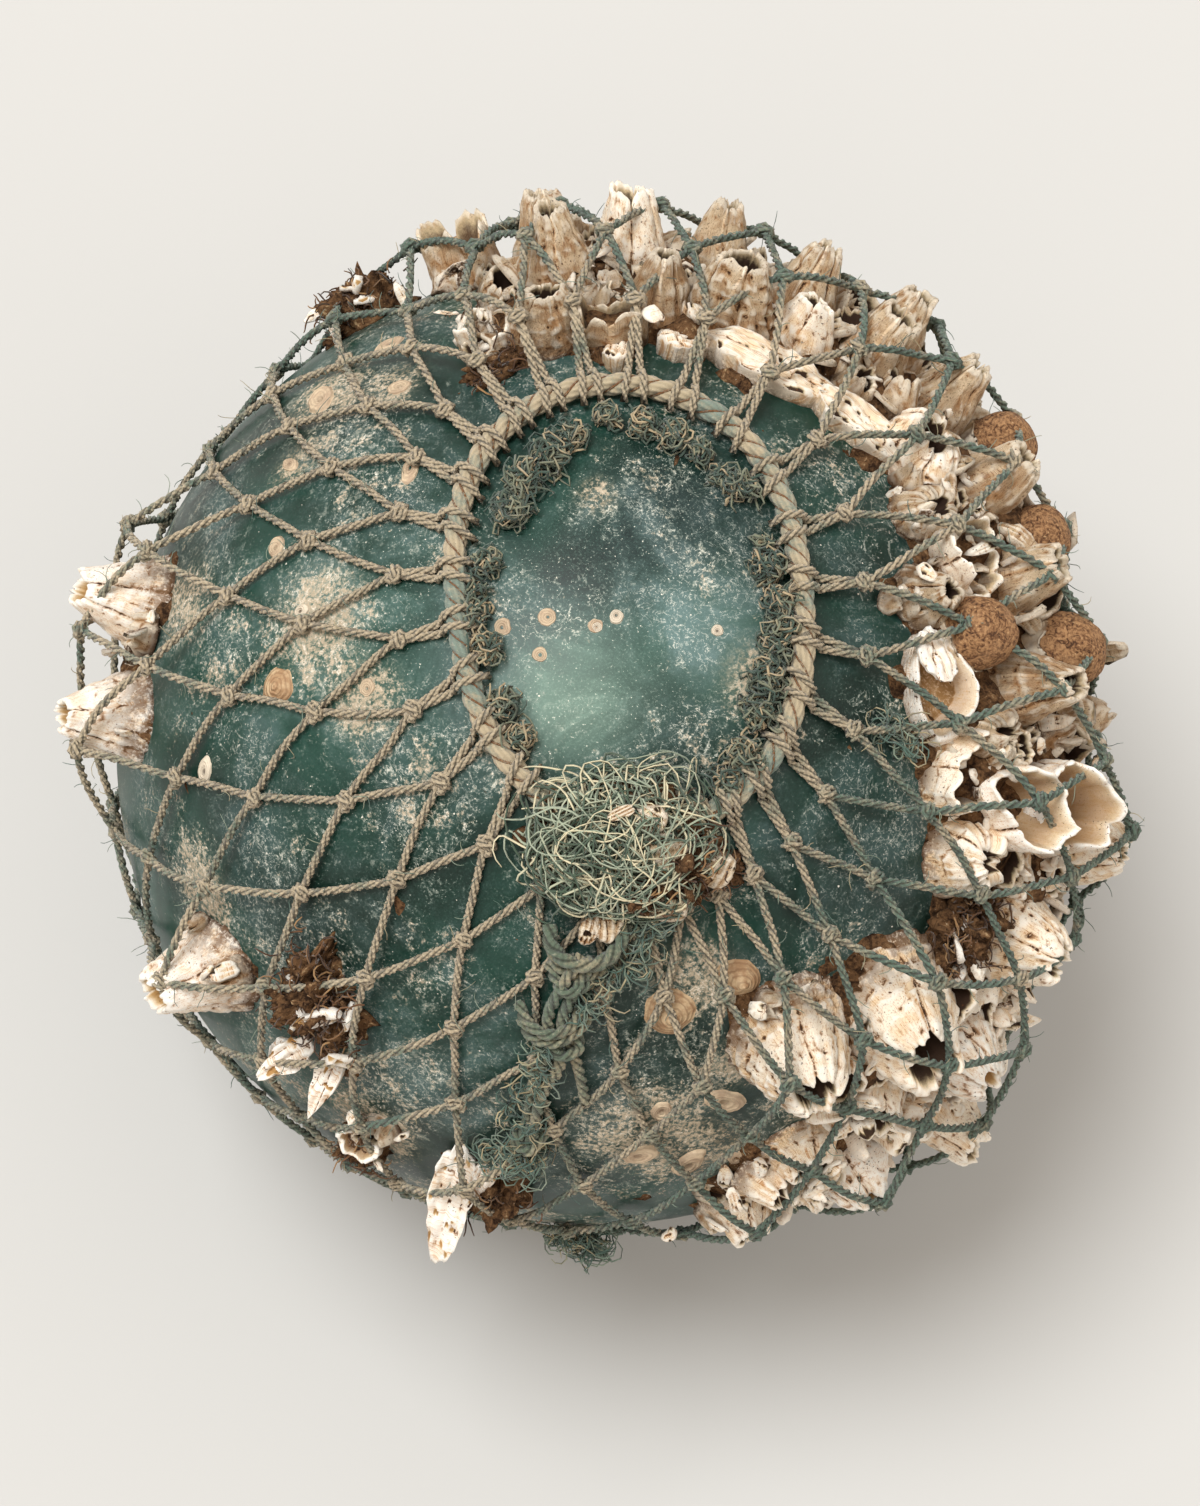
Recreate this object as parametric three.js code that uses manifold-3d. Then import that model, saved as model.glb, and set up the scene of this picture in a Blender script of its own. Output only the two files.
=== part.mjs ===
// A glass fishing float in its knotted net, grown over with barnacles and shells.
// Units are millimetres and +Z is up. The origin is the centre of the small flat under the ball.
// A direction on the ball is given by its polar angle from +Z and its azimuth from +X, in degrees.

import * as THREE from 'three';
import { mergeVertices } from 'three/addons/utils/BufferGeometryUtils.js';
import Module from 'manifold-3d';

const wasm = await Module();
wasm.setup();

// ---- driving dimensions ----
const BALL_RADIUS = 152.5;
const FLAT_DEPTH = 1.0;
const BALL_SIDES = 24;
const BALL_RINGS = 12;
const PIECE_GAP = 0.35;
const GROWTH_SEAT = 0.7;

const COLLAR_ROPE = 8;
const COLLAR_POLAR = 22.3;
const COLLAR_OVAL = 3.6;
const OVAL_AZIMUTH = 108;
const BASE_ROPE = 8;
const BASE_RING_RADIUS = 54;
const ROPE_SIDES = 6;
const ROPE_STEPS = 36;

const COLUMNS = 27;
const ROWS = 12;
const FIRST_ROW_POLAR = 30.5;
const ROW_PITCH = 10.9;
const FIRST_AZIMUTH = 12.9;
const ROW_OVAL = 4.6;
const ROW_OVAL_FADE = 5;
const SQUEEZE = 10.4;
const SQUEEZE_AZIMUTH = 29.5;
const DRIFT = -7;
const DRIFT_AZIMUTH = -83.5;
const SQUEEZE_ROWS = 4.3;
const TWINE = 3.5;
const TWINE_LIFT = 1.3;
const TWINE_ROOM = 4.2;
const TWINE_ROOM_SIDES = 4;
const KNOT_REACH = 2.7;
const RING_TIE_SPREAD = 0.22;
const NET_RIDE = 1.0;
const NET_RIDE_MARGIN = 15;

const BALL_CENTRE = new THREE.Vector3(0, 0, BALL_RADIUS - FLAT_DEPTH);

// ---- materials ----
const finish = (colour, roughness) =>
  new THREE.MeshStandardMaterial({ color: colour, roughness, metalness: 0 });
const GLASS = finish(0x2a5e54, 0.25);
const ROPE = finish(0x8f8c74, 0.9);
const TWINE_FINISH = finish(0x8c8468, 0.9);
const FIBRE = finish(0x5f7a6c, 0.95);
const SHELL = finish(0xd9c8b0, 0.85);
const BROWN_SHELL = finish(0x8a6244, 0.8);
const SPONGE = finish(0x6b4c36, 0.95);

// ---- growths: kind, polar, azimuth, width, depth, height, turn, lean ----
// Turn is measured from the direction away from the pole; width runs along it, and so does the lean.
const GROWTHS = [
  ['barnacle', 46, 112, 32, 31, 32, 0, 10],
  ['barnacle', 38.5, 117, 28, 30, 21, 190, 20],
  ['broken_shell', 40, 126, 17, 20, 13, 150, 15],
  ['broken_shell', 36.5, 105.5, 19, 25, 20, 180, 16],
  ['shell_plate', 31.5, 104, 13, 9, 9, 170, 0],
  ['barnacle', 41.5, 96.5, 26, 25, 26, 180, 10],
  ['barnacle', 52, 101, 29, 28, 31, 0, 8],
  ['barnacle', 57, 111, 27, 27, 29, 0, 8],
  ['barnacle', 43, 84.5, 32, 33, 29, 180, 14],
  ['shell_plate', 35, 91, 15, 13, 9, 120, 0],
  ['shell_plate', 36, 73, 16, 42, 11, 10, 0],
  ['shell_plate', 38, 54, 15, 34, 10, 20, 0],
  ['broken_shell', 62.5, 121, 21, 24, 24, 0, 10],
  ['barnacle', 55, 89, 30, 28, 30, 0, 6],
  ['barnacle', 45, 73, 24, 26, 21, 180, 8],
  ['barnacle', 54, 76, 28, 28, 28, 0, 6],
  ['barnacle', 48, 62.5, 26, 27, 27, 0, 6],
  ['barnacle', 58, 64, 28, 27, 28, 0, 6],
  ['rock_barnacle', 44, 46, 32, 30, 18, 40, 0],
  ['rock_barnacle', 39, 34.5, 24, 23, 14, 0, 0],
  ['barnacle', 53, 52, 27, 26, 28, 0, 8],
  ['barnacle', 50.5, 38, 25, 26, 26, 0, 8],
  ['broken_shell', 42, 25.5, 24, 27, 20, 200, 14],
  ['barnacle', 36, 18, 23, 24, 18, 215, 15],
  ['barnacle', 49, 23, 24, 25, 26, 0, 8],
  ['barnacle', 49, 7, 27, 27, 28, 0, 8],
  ['brown_dome', 59, 44, 23, 23, 33, 0, 6],
  ['brown_dome', 56, 30, 22, 22, 31, 0, 6],
  ['brown_dome', 40, 12, 24, 23, 21, 0, 4],
  ['brown_dome', 57, 15, 24, 25, 34, 0, 6],
  ['oyster_shell', 37.5, 1, 23, 35, 14, 25, 0],
  ['rock_barnacle', 46, 358, 20, 24, 19, 0, 0],
  ['broken_shell', 43.5, 350, 22, 28, 16, 0, 10],
  ['broken_shell', 51.5, 350.5, 28, 27, 26, 0, 16],
  ['broken_shell', 60, 355, 30, 30, 30, 0, 12],
  ['rock_barnacle', 50.5, 341, 28, 27, 18, 0, 0],
  ['barnacle', 66, 340, 34, 33, 29, 10, 12],
  ['barnacle', 59, 321.5, 42, 40, 30, -15, 22],
  ['barnacle', 55, 306.5, 37, 36, 27, -5, 26],
  ['barnacle', 73, 327, 34, 32, 29, 0, 12],
  ['brown_clump', 57.5, 333.5, 19, 16, 11, 0, 0],
  ['barnacle', 72, 356, 30, 30, 29, 0, 10],
  ['barnacle', 76, 306, 22, 28, 13, 0, 8],
  ['barnacle', 87, 299, 25, 25, 17, 0, 10],
  ['barnacle', 85, 312, 32, 30, 27, 0, 12],
  ['barnacle', 89, 325, 32, 30, 27, 0, 10],
  ['barnacle', 69.5, 182, 32, 33, 25, 0, 8],
  ['barnacle', 72, 195.5, 32, 31, 25, 0, 8],
  ['barnacle', 72, 229, 32, 32, 23, -25, 24],
  ['brown_clump', 61, 243, 24, 26, 12, 0, 0],
  ['shell_plate', 70.5, 247.5, 19, 10, 11, 0, 16],
  ['broken_shell', 80, 254, 10, 15, 8, 0, 0],
  ['shell_plate', 79, 266.5, 32, 14, 14, 0, 30],
  ['brown_clump', 70.5, 134, 19, 25, 12, 0, 0],
];

const KINDS = {
  barnacle: { sides: 7, mouth: 0.42, pit: 0.5, ridge: 0.1, finish: SHELL },
  broken_shell: { sides: 6, mouth: 0.84, pit: 0.75, ridge: 0.12, finish: SHELL },
  oyster_shell: { sides: 6, mouth: 0.82, pit: 0.6, ridge: 0.04, finish: SHELL },
  shell_plate: { sides: 6, mouth: 0, pit: 0, ridge: 0.06, finish: SHELL },
  rock_barnacle: { sides: 6, mouth: 0, pit: 0, ridge: 0.1, finish: SHELL },
  brown_dome: { sides: 7, mouth: 0, pit: 0, ridge: 0.02, finish: BROWN_SHELL },
  brown_clump: { sides: 6, mouth: 0, pit: 0, ridge: 0.14, finish: SPONGE },
  fibre_nest: { sides: 10, mouth: 0, pit: 0, ridge: 0.06, finish: FIBRE, seat: 5.4 },
};
const NEST = ['fibre_nest', 27.5, 281, 45, 64, 17, 0, 0];

// ---- directions and solids ----
const radians = THREE.MathUtils.degToRad;

function direction(polar, azimuth) {
  const [p, a] = [radians(polar), radians(azimuth)];
  return new THREE.Vector3(Math.sin(p) * Math.cos(a), Math.sin(p) * Math.sin(a), Math.cos(p));
}

function place(polar, azimuth, height) {
  return direction(polar, azimuth).multiplyScalar(BALL_RADIUS + height).add(BALL_CENTRE);
}

// The same shape with each shared corner held once, ready to be moved or made a solid.
function welded(geometry) {
  const bare = geometry.clone();
  bare.deleteAttribute('normal');
  bare.deleteAttribute('uv');
  return mergeVertices(bare, 1e-3);
}

function solidOf(geometry) {
  const shape = welded(geometry);
  const corners = shape.index.array;
  const triangles = [];
  for (let i = 0; i < corners.length; i += 3) {
    const [a, b, c] = [corners[i], corners[i + 1], corners[i + 2]];
    if (a !== b && b !== c && c !== a) {
      triangles.push(a, b, c);
    }
  }
  const build = () => new wasm.Manifold(new wasm.Mesh({
    numProp: 3,
    vertProperties: new Float32Array(shape.attributes.position.array),
    triVerts: new Uint32Array(triangles),
  }));
  const solid = build();
  if (solid.volume() > 0) {
    return solid;
  }
  for (let i = 0; i < triangles.length; i += 3) {
    [triangles[i + 1], triangles[i + 2]] = [triangles[i + 2], triangles[i + 1]];
  }
  return build();
}

function largestPart(solid) {
  return solid.decompose().reduce((best, part) => (part.volume() > best.volume() ? part : best));
}

function meshOf(name, solid, material) {
  const result = solid.getMesh();
  const geometry = new THREE.BufferGeometry();
  geometry.setAttribute('position', new THREE.Float32BufferAttribute(result.vertProperties, 3));
  geometry.setIndex(Array.from(result.triVerts));
  geometry.computeVertexNormals();
  const mesh = new THREE.Mesh(geometry, material);
  mesh.name = name;
  return mesh;
}

function movePoints(geometry, move) {
  const positions = geometry.attributes.position;
  for (let i = 0; i < positions.count; i += 1) {
    const point = new THREE.Vector3().fromBufferAttribute(positions, i);
    const moved = move(point);
    positions.setXYZ(i, moved.x, moved.y, moved.z);
  }
  return geometry;
}

// ---- the ball: a sphere with a small flat to stand on ----
function ballSolid() {
  const flatPolar = Math.acos(1 - FLAT_DEPTH / BALL_RADIUS);
  const profile = [new THREE.Vector2(0, 0)];
  for (let i = 0; i <= BALL_RINGS; i += 1) {
    const angle = flatPolar + (Math.PI - flatPolar) * i / BALL_RINGS;
    const radius = i === BALL_RINGS ? 0 : BALL_RADIUS * Math.sin(angle);
    profile.push(new THREE.Vector2(radius, BALL_CENTRE.z - BALL_RADIUS * Math.cos(angle)));
  }
  profile[1].y = 0;
  return solidOf(new THREE.LatheGeometry(profile, BALL_SIDES).rotateX(Math.PI / 2));
}

// ---- the rope rings ----
function collarPolar(azimuth) {
  return COLLAR_POLAR + COLLAR_OVAL * Math.cos(radians(2 * (azimuth - OVAL_AZIMUTH)));
}

function collarSolid(grow) {
  const reach = 100;
  const centreHeight = COLLAR_ROPE / 2 + GROWTH_SEAT;
  const torus = welded(new THREE.TorusGeometry(reach, COLLAR_ROPE / 2 + grow, ROPE_SIDES, ROPE_STEPS));
  return solidOf(movePoints(torus, (point) => {
    const azimuth = THREE.MathUtils.radToDeg(Math.atan2(point.y, point.x));
    const outward = Math.hypot(point.x, point.y) - reach;
    const spread = THREE.MathUtils.radToDeg(outward / (BALL_RADIUS + centreHeight));
    return place(collarPolar(azimuth) + spread, azimuth, centreHeight + point.z);
  }));
}

function baseRingSolid() {
  const torus = new THREE.TorusGeometry(BASE_RING_RADIUS, BASE_ROPE / 2, ROPE_SIDES, ROPE_STEPS);
  return solidOf(torus.translate(0, 0, BASE_ROPE / 2 * Math.sin(Math.PI / 3)));
}

// ---- the net ----
function knotAzimuth(row, column) {
  const even = FIRST_AZIMUTH + 360 / COLUMNS * (column + (row - 1) / 2);
  const strength = Math.max(0, 1 - (row - 1) / SQUEEZE_ROWS);
  const squeeze = SQUEEZE * Math.sin(radians(2 * (even - SQUEEZE_AZIMUTH)));
  return even + strength * (squeeze + DRIFT * Math.sin(radians(even - DRIFT_AZIMUTH)));
}

function knotPolar(row, azimuth) {
  const fade = Math.exp(-(row - 1) / ROW_OVAL_FADE);
  const oval = ROW_OVAL * Math.cos(radians(2 * (azimuth - OVAL_AZIMUTH)));
  return FIRST_ROW_POLAR + (row - 1) * ROW_PITCH + fade * oval;
}

function rideHeight(polar, azimuth) {
  const here = direction(polar, azimuth);
  let ride = 0;
  for (const [, growthPolar, growthAzimuth, width, depth, height] of GROWTHS) {
    const apart = BALL_RADIUS * here.angleTo(direction(growthPolar, growthAzimuth));
    const reach = (width + depth) / 4 + NET_RIDE_MARGIN;
    ride = Math.max(ride, NET_RIDE * height * Math.exp(-((apart / reach) ** 3)));
  }
  return ride;
}

function buildNet() {
  const positions = [];
  const runs = [];
  const triangles = [];
  const addPoint = (point) => {
    positions.push(point.x, point.y, point.z);
    return positions.length / 3 - 1;
  };
  const underside = TWINE_LIFT;
  const top = TWINE_LIFT + TWINE * 0.8;
  const reach = KNOT_REACH;

  const pointOf = (i) => new THREE.Vector3().fromArray(positions, 3 * i);
  const middle = ([left, right, inner]) => pointOf(left).add(pointOf(right)).multiplyScalar(0.5)
    .add(pointOf(inner)).multiplyScalar(0.5);

  // A knot is a square of four corners over one inner point; each side of it takes one twine.
  function knot(polar, azimuth) {
    const ride = rideHeight(polar, azimuth);
    const centre = place(polar, azimuth, ride + top);
    const away = direction(polar + 90, azimuth);
    const across = direction(90, azimuth + 90);
    const corner = (alongAway, alongAcross) => addPoint(
      centre.clone().addScaledVector(away, alongAway).addScaledVector(across, alongAcross));
    const corners = [corner(-reach, 0), corner(0, reach), corner(reach, 0), corner(0, -reach)];
    triangles.push(corners[0], corners[2], corners[1], corners[0], corners[3], corners[2]);
    return { corners, inner: addPoint(place(polar, azimuth, ride + underside)) };
  }

  // A twine joins two three-point ends, each given as left, right and inner along its run.
  function twine(start, end) {
    const [startLeft, startRight, startInner] = start;
    const [endLeft, endRight, endInner] = end;
    runs.push([middle(start), middle(end)]);
    triangles.push(startLeft, startRight, endRight, startLeft, endRight, endLeft);
    triangles.push(startRight, startInner, endInner, startRight, endInner, endRight);
    triangles.push(startInner, startLeft, endLeft, startInner, endLeft, endInner);
  }

  // A twine tied to a rope ring stops just short of the rope, with a closing face.
  function ringTwine(start, polar, azimuth, leftward) {
    const centre = place(polar, azimuth, top);
    const across = direction(90, azimuth + 90).multiplyScalar(leftward * reach / Math.SQRT2);
    const left = addPoint(centre.clone().add(across));
    const right = addPoint(centre.clone().sub(across));
    const inner = addPoint(place(polar, azimuth, underside));
    twine(start, [left, right, inner]);
    triangles.push(right, inner, left);
  }

  const knots = [];
  for (let row = 1; row <= ROWS; row += 1) {
    const line = [];
    for (let column = 0; column < COLUMNS; column += 1) {
      const azimuth = knotAzimuth(row, column);
      line.push(knot(knotPolar(row, azimuth), azimuth));
    }
    knots.push(line);
  }

  const side = { upAhead: [0, 1], downAhead: [1, 2], downBack: [2, 3], upBack: [3, 0] };
  const leaving = (tied, name) => [...side[name].map((i) => tied.corners[i]), tied.inner];
  const arriving = (tied, name) => {
    const [left, right, inner] = leaving(tied, name);
    return [right, left, inner];
  };
  for (let row = 0; row < ROWS - 1; row += 1) {
    for (let column = 0; column < COLUMNS; column += 1) {
      const here = knots[row][column];
      const ahead = knots[row + 1][column];
      const back = knots[row + 1][(column - 1 + COLUMNS) % COLUMNS];
      twine(leaving(here, 'downAhead'), arriving(ahead, 'upBack'));
      twine(leaving(here, 'downBack'), arriving(back, 'upAhead'));
    }
  }

  const ropeClearance = THREE.MathUtils.radToDeg((COLLAR_ROPE / 2 + 0.6) / BALL_RADIUS);
  const baseEdge = BASE_RING_RADIUS + BASE_ROPE / 2 + 0.6;
  const basePolar = 180 - THREE.MathUtils.radToDeg(Math.asin(baseEdge / (BALL_RADIUS + 3)));
  for (let column = 0; column < COLUMNS; column += 1) {
    for (const way of [-1, 1]) {
      const spread = column + way * RING_TIE_SPREAD;
      const upper = knotAzimuth(1, spread);
      const upperSide = way > 0 ? 'upAhead' : 'upBack';
      ringTwine(leaving(knots[0][column], upperSide), collarPolar(upper) + ropeClearance, upper, -1);
      const lowerSide = way > 0 ? 'downAhead' : 'downBack';
      const lowest = knots[ROWS - 1][column];
      ringTwine(leaving(lowest, lowerSide), basePolar, knotAzimuth(ROWS, spread), 1);
    }
  }
  const geometry = new THREE.BufferGeometry();
  geometry.setAttribute('position', new THREE.Float32BufferAttribute(positions, 3));
  geometry.setIndex(triangles);
  return { solid: solidOf(geometry), runs };
}

// The clear way that a straight twine needs through a growth.
function twineRoom([start, end]) {
  const run = end.clone().sub(start);
  const room = new THREE.CylinderGeometry(TWINE_ROOM, TWINE_ROOM, run.length() + TWINE_ROOM,
    TWINE_ROOM_SIDES);
  const turn = new THREE.Quaternion().setFromUnitVectors(new THREE.Vector3(0, 1, 0), run.normalize());
  const centre = start.clone().add(end).multiplyScalar(0.5);
  return solidOf(room.applyQuaternion(turn).translate(centre.x, centre.y, centre.z));
}

function clearOfNet(solid, runs) {
  const { min, max } = solid.boundingBox();
  const box = new THREE.Box3(new THREE.Vector3(...min), new THREE.Vector3(...max));
  box.expandByScalar(TWINE_ROOM);
  const near = runs.filter((run) => new THREE.Box3().setFromPoints(run).intersectsBox(box));
  return near.reduce((rest, run) => rest.subtract(twineRoom(run)), solid);
}

// ---- growths ----
// A growth's own frame: x along its turn, y across it, z away from the ball.
function growthSolid([kind, polar, azimuth, width, depth, height, turn, lean], grow) {
  const { sides, mouth, pit, ridge, seat = GROWTH_SEAT } = KINDS[kind];
  const top = mouth > 0
    ? [[mouth, 1], [0, 1 - pit]]
    : [[0.94, 0.5], [0.62, 0.86], [0, 1]];
  const profile = [[0, 0], [1, 0], ...top]
    .map(([reach, rise]) => new THREE.Vector2(reach, rise));
  const up = direction(polar, azimuth);
  const away = direction(polar + 90, azimuth);
  const across = direction(90, azimuth + 90);
  const along = away.clone().applyAxisAngle(up, radians(turn));
  const aside = across.clone().applyAxisAngle(up, radians(turn));
  const slope = Math.tan(radians(lean));
  const shape = welded(new THREE.LatheGeometry(profile, sides, Math.PI / 2).rotateX(Math.PI / 2));
  return solidOf(movePoints(shape, (point) => {
    const side = Math.round(Math.atan2(point.y, point.x) / (2 * Math.PI / sides));
    const onAxis = Math.hypot(point.x, point.y) < 1e-6;
    const uneven = onAxis || side % 2 === 0 ? 1 : 1 - ridge;
    const rise = point.z * (height + grow) * (point.z > 0.7 ? uneven : 1);
    const x = point.x * (width / 2 + grow) * uneven + rise * slope;
    const y = point.y * (depth / 2 + grow) * uneven;
    const foot = up.clone().multiplyScalar(BALL_RADIUS)
      .addScaledVector(along, x - rise * slope).addScaledVector(aside, y).normalize()
      .multiplyScalar(BALL_RADIUS + seat - grow).add(BALL_CENTRE);
    return foot.addScaledVector(up, rise).addScaledVector(along, rise * slope);
  }));
}

// ---- the lacing that closes the net below the collar ----
const LACING = [
  [39.5, 276, 10.5], [43, 273, 10.5], [48, 272, 10.5], [53, 274, 10.5], [58, 273, 10.5], [64, 272.5, 10],
];

function lacingSolid() {
  const path = new THREE.CatmullRomCurve3(
    LACING.map(([polar, azimuth, height]) => place(polar, azimuth, height)));
  const section = new THREE.Shape();
  const reach = 5.5;
  const sides = 6;
  for (let i = 0; i < sides; i += 1) {
    const angle = 2 * Math.PI * i / sides;
    const point = [reach * Math.cos(angle), reach * Math.sin(angle)];
    if (i === 0) {
      section.moveTo(...point);
    } else {
      section.lineTo(...point);
    }
  }
  section.closePath();
  return solidOf(new THREE.ExtrudeGeometry(section, {
    steps: 14, bevelEnabled: false, extrudePath: path,
  }));
}

// ---- assembly ----
const float = new THREE.Group();
const net = buildNet();
float.add(meshOf('glass_ball', ballSolid(), GLASS));
float.add(meshOf('collar_ring', collarSolid(0), ROPE));
float.add(meshOf('base_ring', baseRingSolid(), ROPE));
float.add(meshOf('net', net.solid, TWINE_FINISH));

const collarRoom = collarSolid(PIECE_GAP);
const besideNet = (solid) => clearOfNet(solid, net.runs).subtract(collarRoom);

const nest = largestPart(growthSolid(NEST, 0).subtract(collarRoom));
float.add(meshOf('fibre_nest', nest, FIBRE));
const lacing = lacingSolid().subtract(growthSolid(NEST, PIECE_GAP));
float.add(meshOf('lacing', largestPart(lacing), TWINE_FINISH));

const counts = {};
const placed = [];
for (const growth of GROWTHS) {
  const [kind, polar, azimuth, width, depth] = growth;
  counts[kind] = (counts[kind] ?? 0) + 1;
  const centre = place(polar, azimuth, 0);
  const reach = Math.max(width, depth);
  let solid = growthSolid(growth, 0);
  for (const other of placed) {
    if (centre.distanceTo(other.centre) < reach + other.reach) {
      solid = solid.subtract(other.room);
    }
  }
  placed.push({ centre, reach, room: growthSolid(growth, PIECE_GAP) });
  float.add(meshOf(`${kind}_${counts[kind]}`, largestPart(besideNet(solid)), KINDS[kind].finish));
}

export default float;
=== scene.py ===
"""A glass fishing float in its knotted net, grown over with barnacles and shells.

Lengths are millimetres until a mesh is made, and +Z is up. A direction on the ball is given by its
polar angle from +Z and its azimuth from +X, in degrees, and a height is measured from the glass.
"""

import itertools
import math
from types import SimpleNamespace

import bpy
import numpy as np
from mathutils import Matrix, Vector


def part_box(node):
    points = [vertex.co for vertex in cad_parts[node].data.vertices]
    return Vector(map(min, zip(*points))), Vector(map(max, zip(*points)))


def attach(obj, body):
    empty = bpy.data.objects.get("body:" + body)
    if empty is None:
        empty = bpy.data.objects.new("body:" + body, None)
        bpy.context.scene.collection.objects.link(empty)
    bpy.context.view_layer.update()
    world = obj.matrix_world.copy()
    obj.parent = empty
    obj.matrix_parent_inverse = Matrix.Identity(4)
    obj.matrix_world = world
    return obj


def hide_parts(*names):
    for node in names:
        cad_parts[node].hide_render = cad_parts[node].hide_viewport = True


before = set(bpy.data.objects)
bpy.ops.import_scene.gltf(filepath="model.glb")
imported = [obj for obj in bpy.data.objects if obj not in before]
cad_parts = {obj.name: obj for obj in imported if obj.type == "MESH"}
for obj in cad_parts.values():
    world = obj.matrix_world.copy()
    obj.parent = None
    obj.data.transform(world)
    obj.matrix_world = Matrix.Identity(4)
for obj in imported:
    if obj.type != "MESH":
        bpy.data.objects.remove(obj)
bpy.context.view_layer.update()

MM = 0.001
TAU = 2 * math.pi

# ---- the ball, as the frame holds it ----
ball_low, ball_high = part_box("glass_ball")
BALL_RADIUS = (ball_high.x - ball_low.x) / 2 / MM
BALL_CENTRE = np.array([0, 0, ball_high.z / MM - BALL_RADIUS])
GLASS_WALL = 5.0

# ---- rope rings ----
COLLAR_POLAR = 22.3
COLLAR_OVAL = 3.6
OVAL_AZIMUTH = 108
COLLAR_HEIGHT = 4.2
COLLAR_ROPE = 7.0
BASE_ROPE = COLLAR_ROPE * 0.86
BASE_RING_RADIUS = 54.0
BASE_RING_HEIGHT = 3.46
STRAND_RADIUS = 0.27  # the next three are shares of the rope's width
STRAND_REACH = 0.245
THREAD_REACH = 0.36
THREAD_RADIUS = 0.42
THREAD_LOT = 2.0

# ---- net: rows of knots down the ball, with the columns of the first rows squeezed and shifted ----
COLUMNS = 27
ROWS = 12
FIRST_ROW_POLAR = 30.5
ROW_PITCH = 10.9
ROW_OVAL = 4.6
ROW_OVAL_FADE = 5
FIRST_AZIMUTH = 12.9
SQUEEZE = 10.4
SQUEEZE_AZIMUTH = 29.5
DRIFT = -7
DRIFT_AZIMUTH = -83.5
SQUEEZE_ROWS = 4.3
RING_TIE_SPREAD = 0.22
BASE_TIE_POLAR = 157.9
# Bands of the net: name, first row, last row, steps of a bar, steps of a knot.
FINE_ROWS = 8
NET_BANDS = [("net_crown", 1, 2, 17, 10), ("net_shoulder", 3, 5, 17, 10), ("net_waist", 6, FINE_ROWS, 14, 8),
             ("net_under", FINE_ROWS + 1, ROWS, 7, 7)]

# ---- twine, and how far the growths lift it ----
TWINE = 2.75
TWINE_HEIGHT = 2.2
TWINE_LAY = 11.5
VALLEY_REACH = 0.56
KNOT_SIZE = 0.74
NET_RIDE = 0.72
DOME_RIDE = 0.5
NET_RIDE_MARGIN = 15

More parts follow.
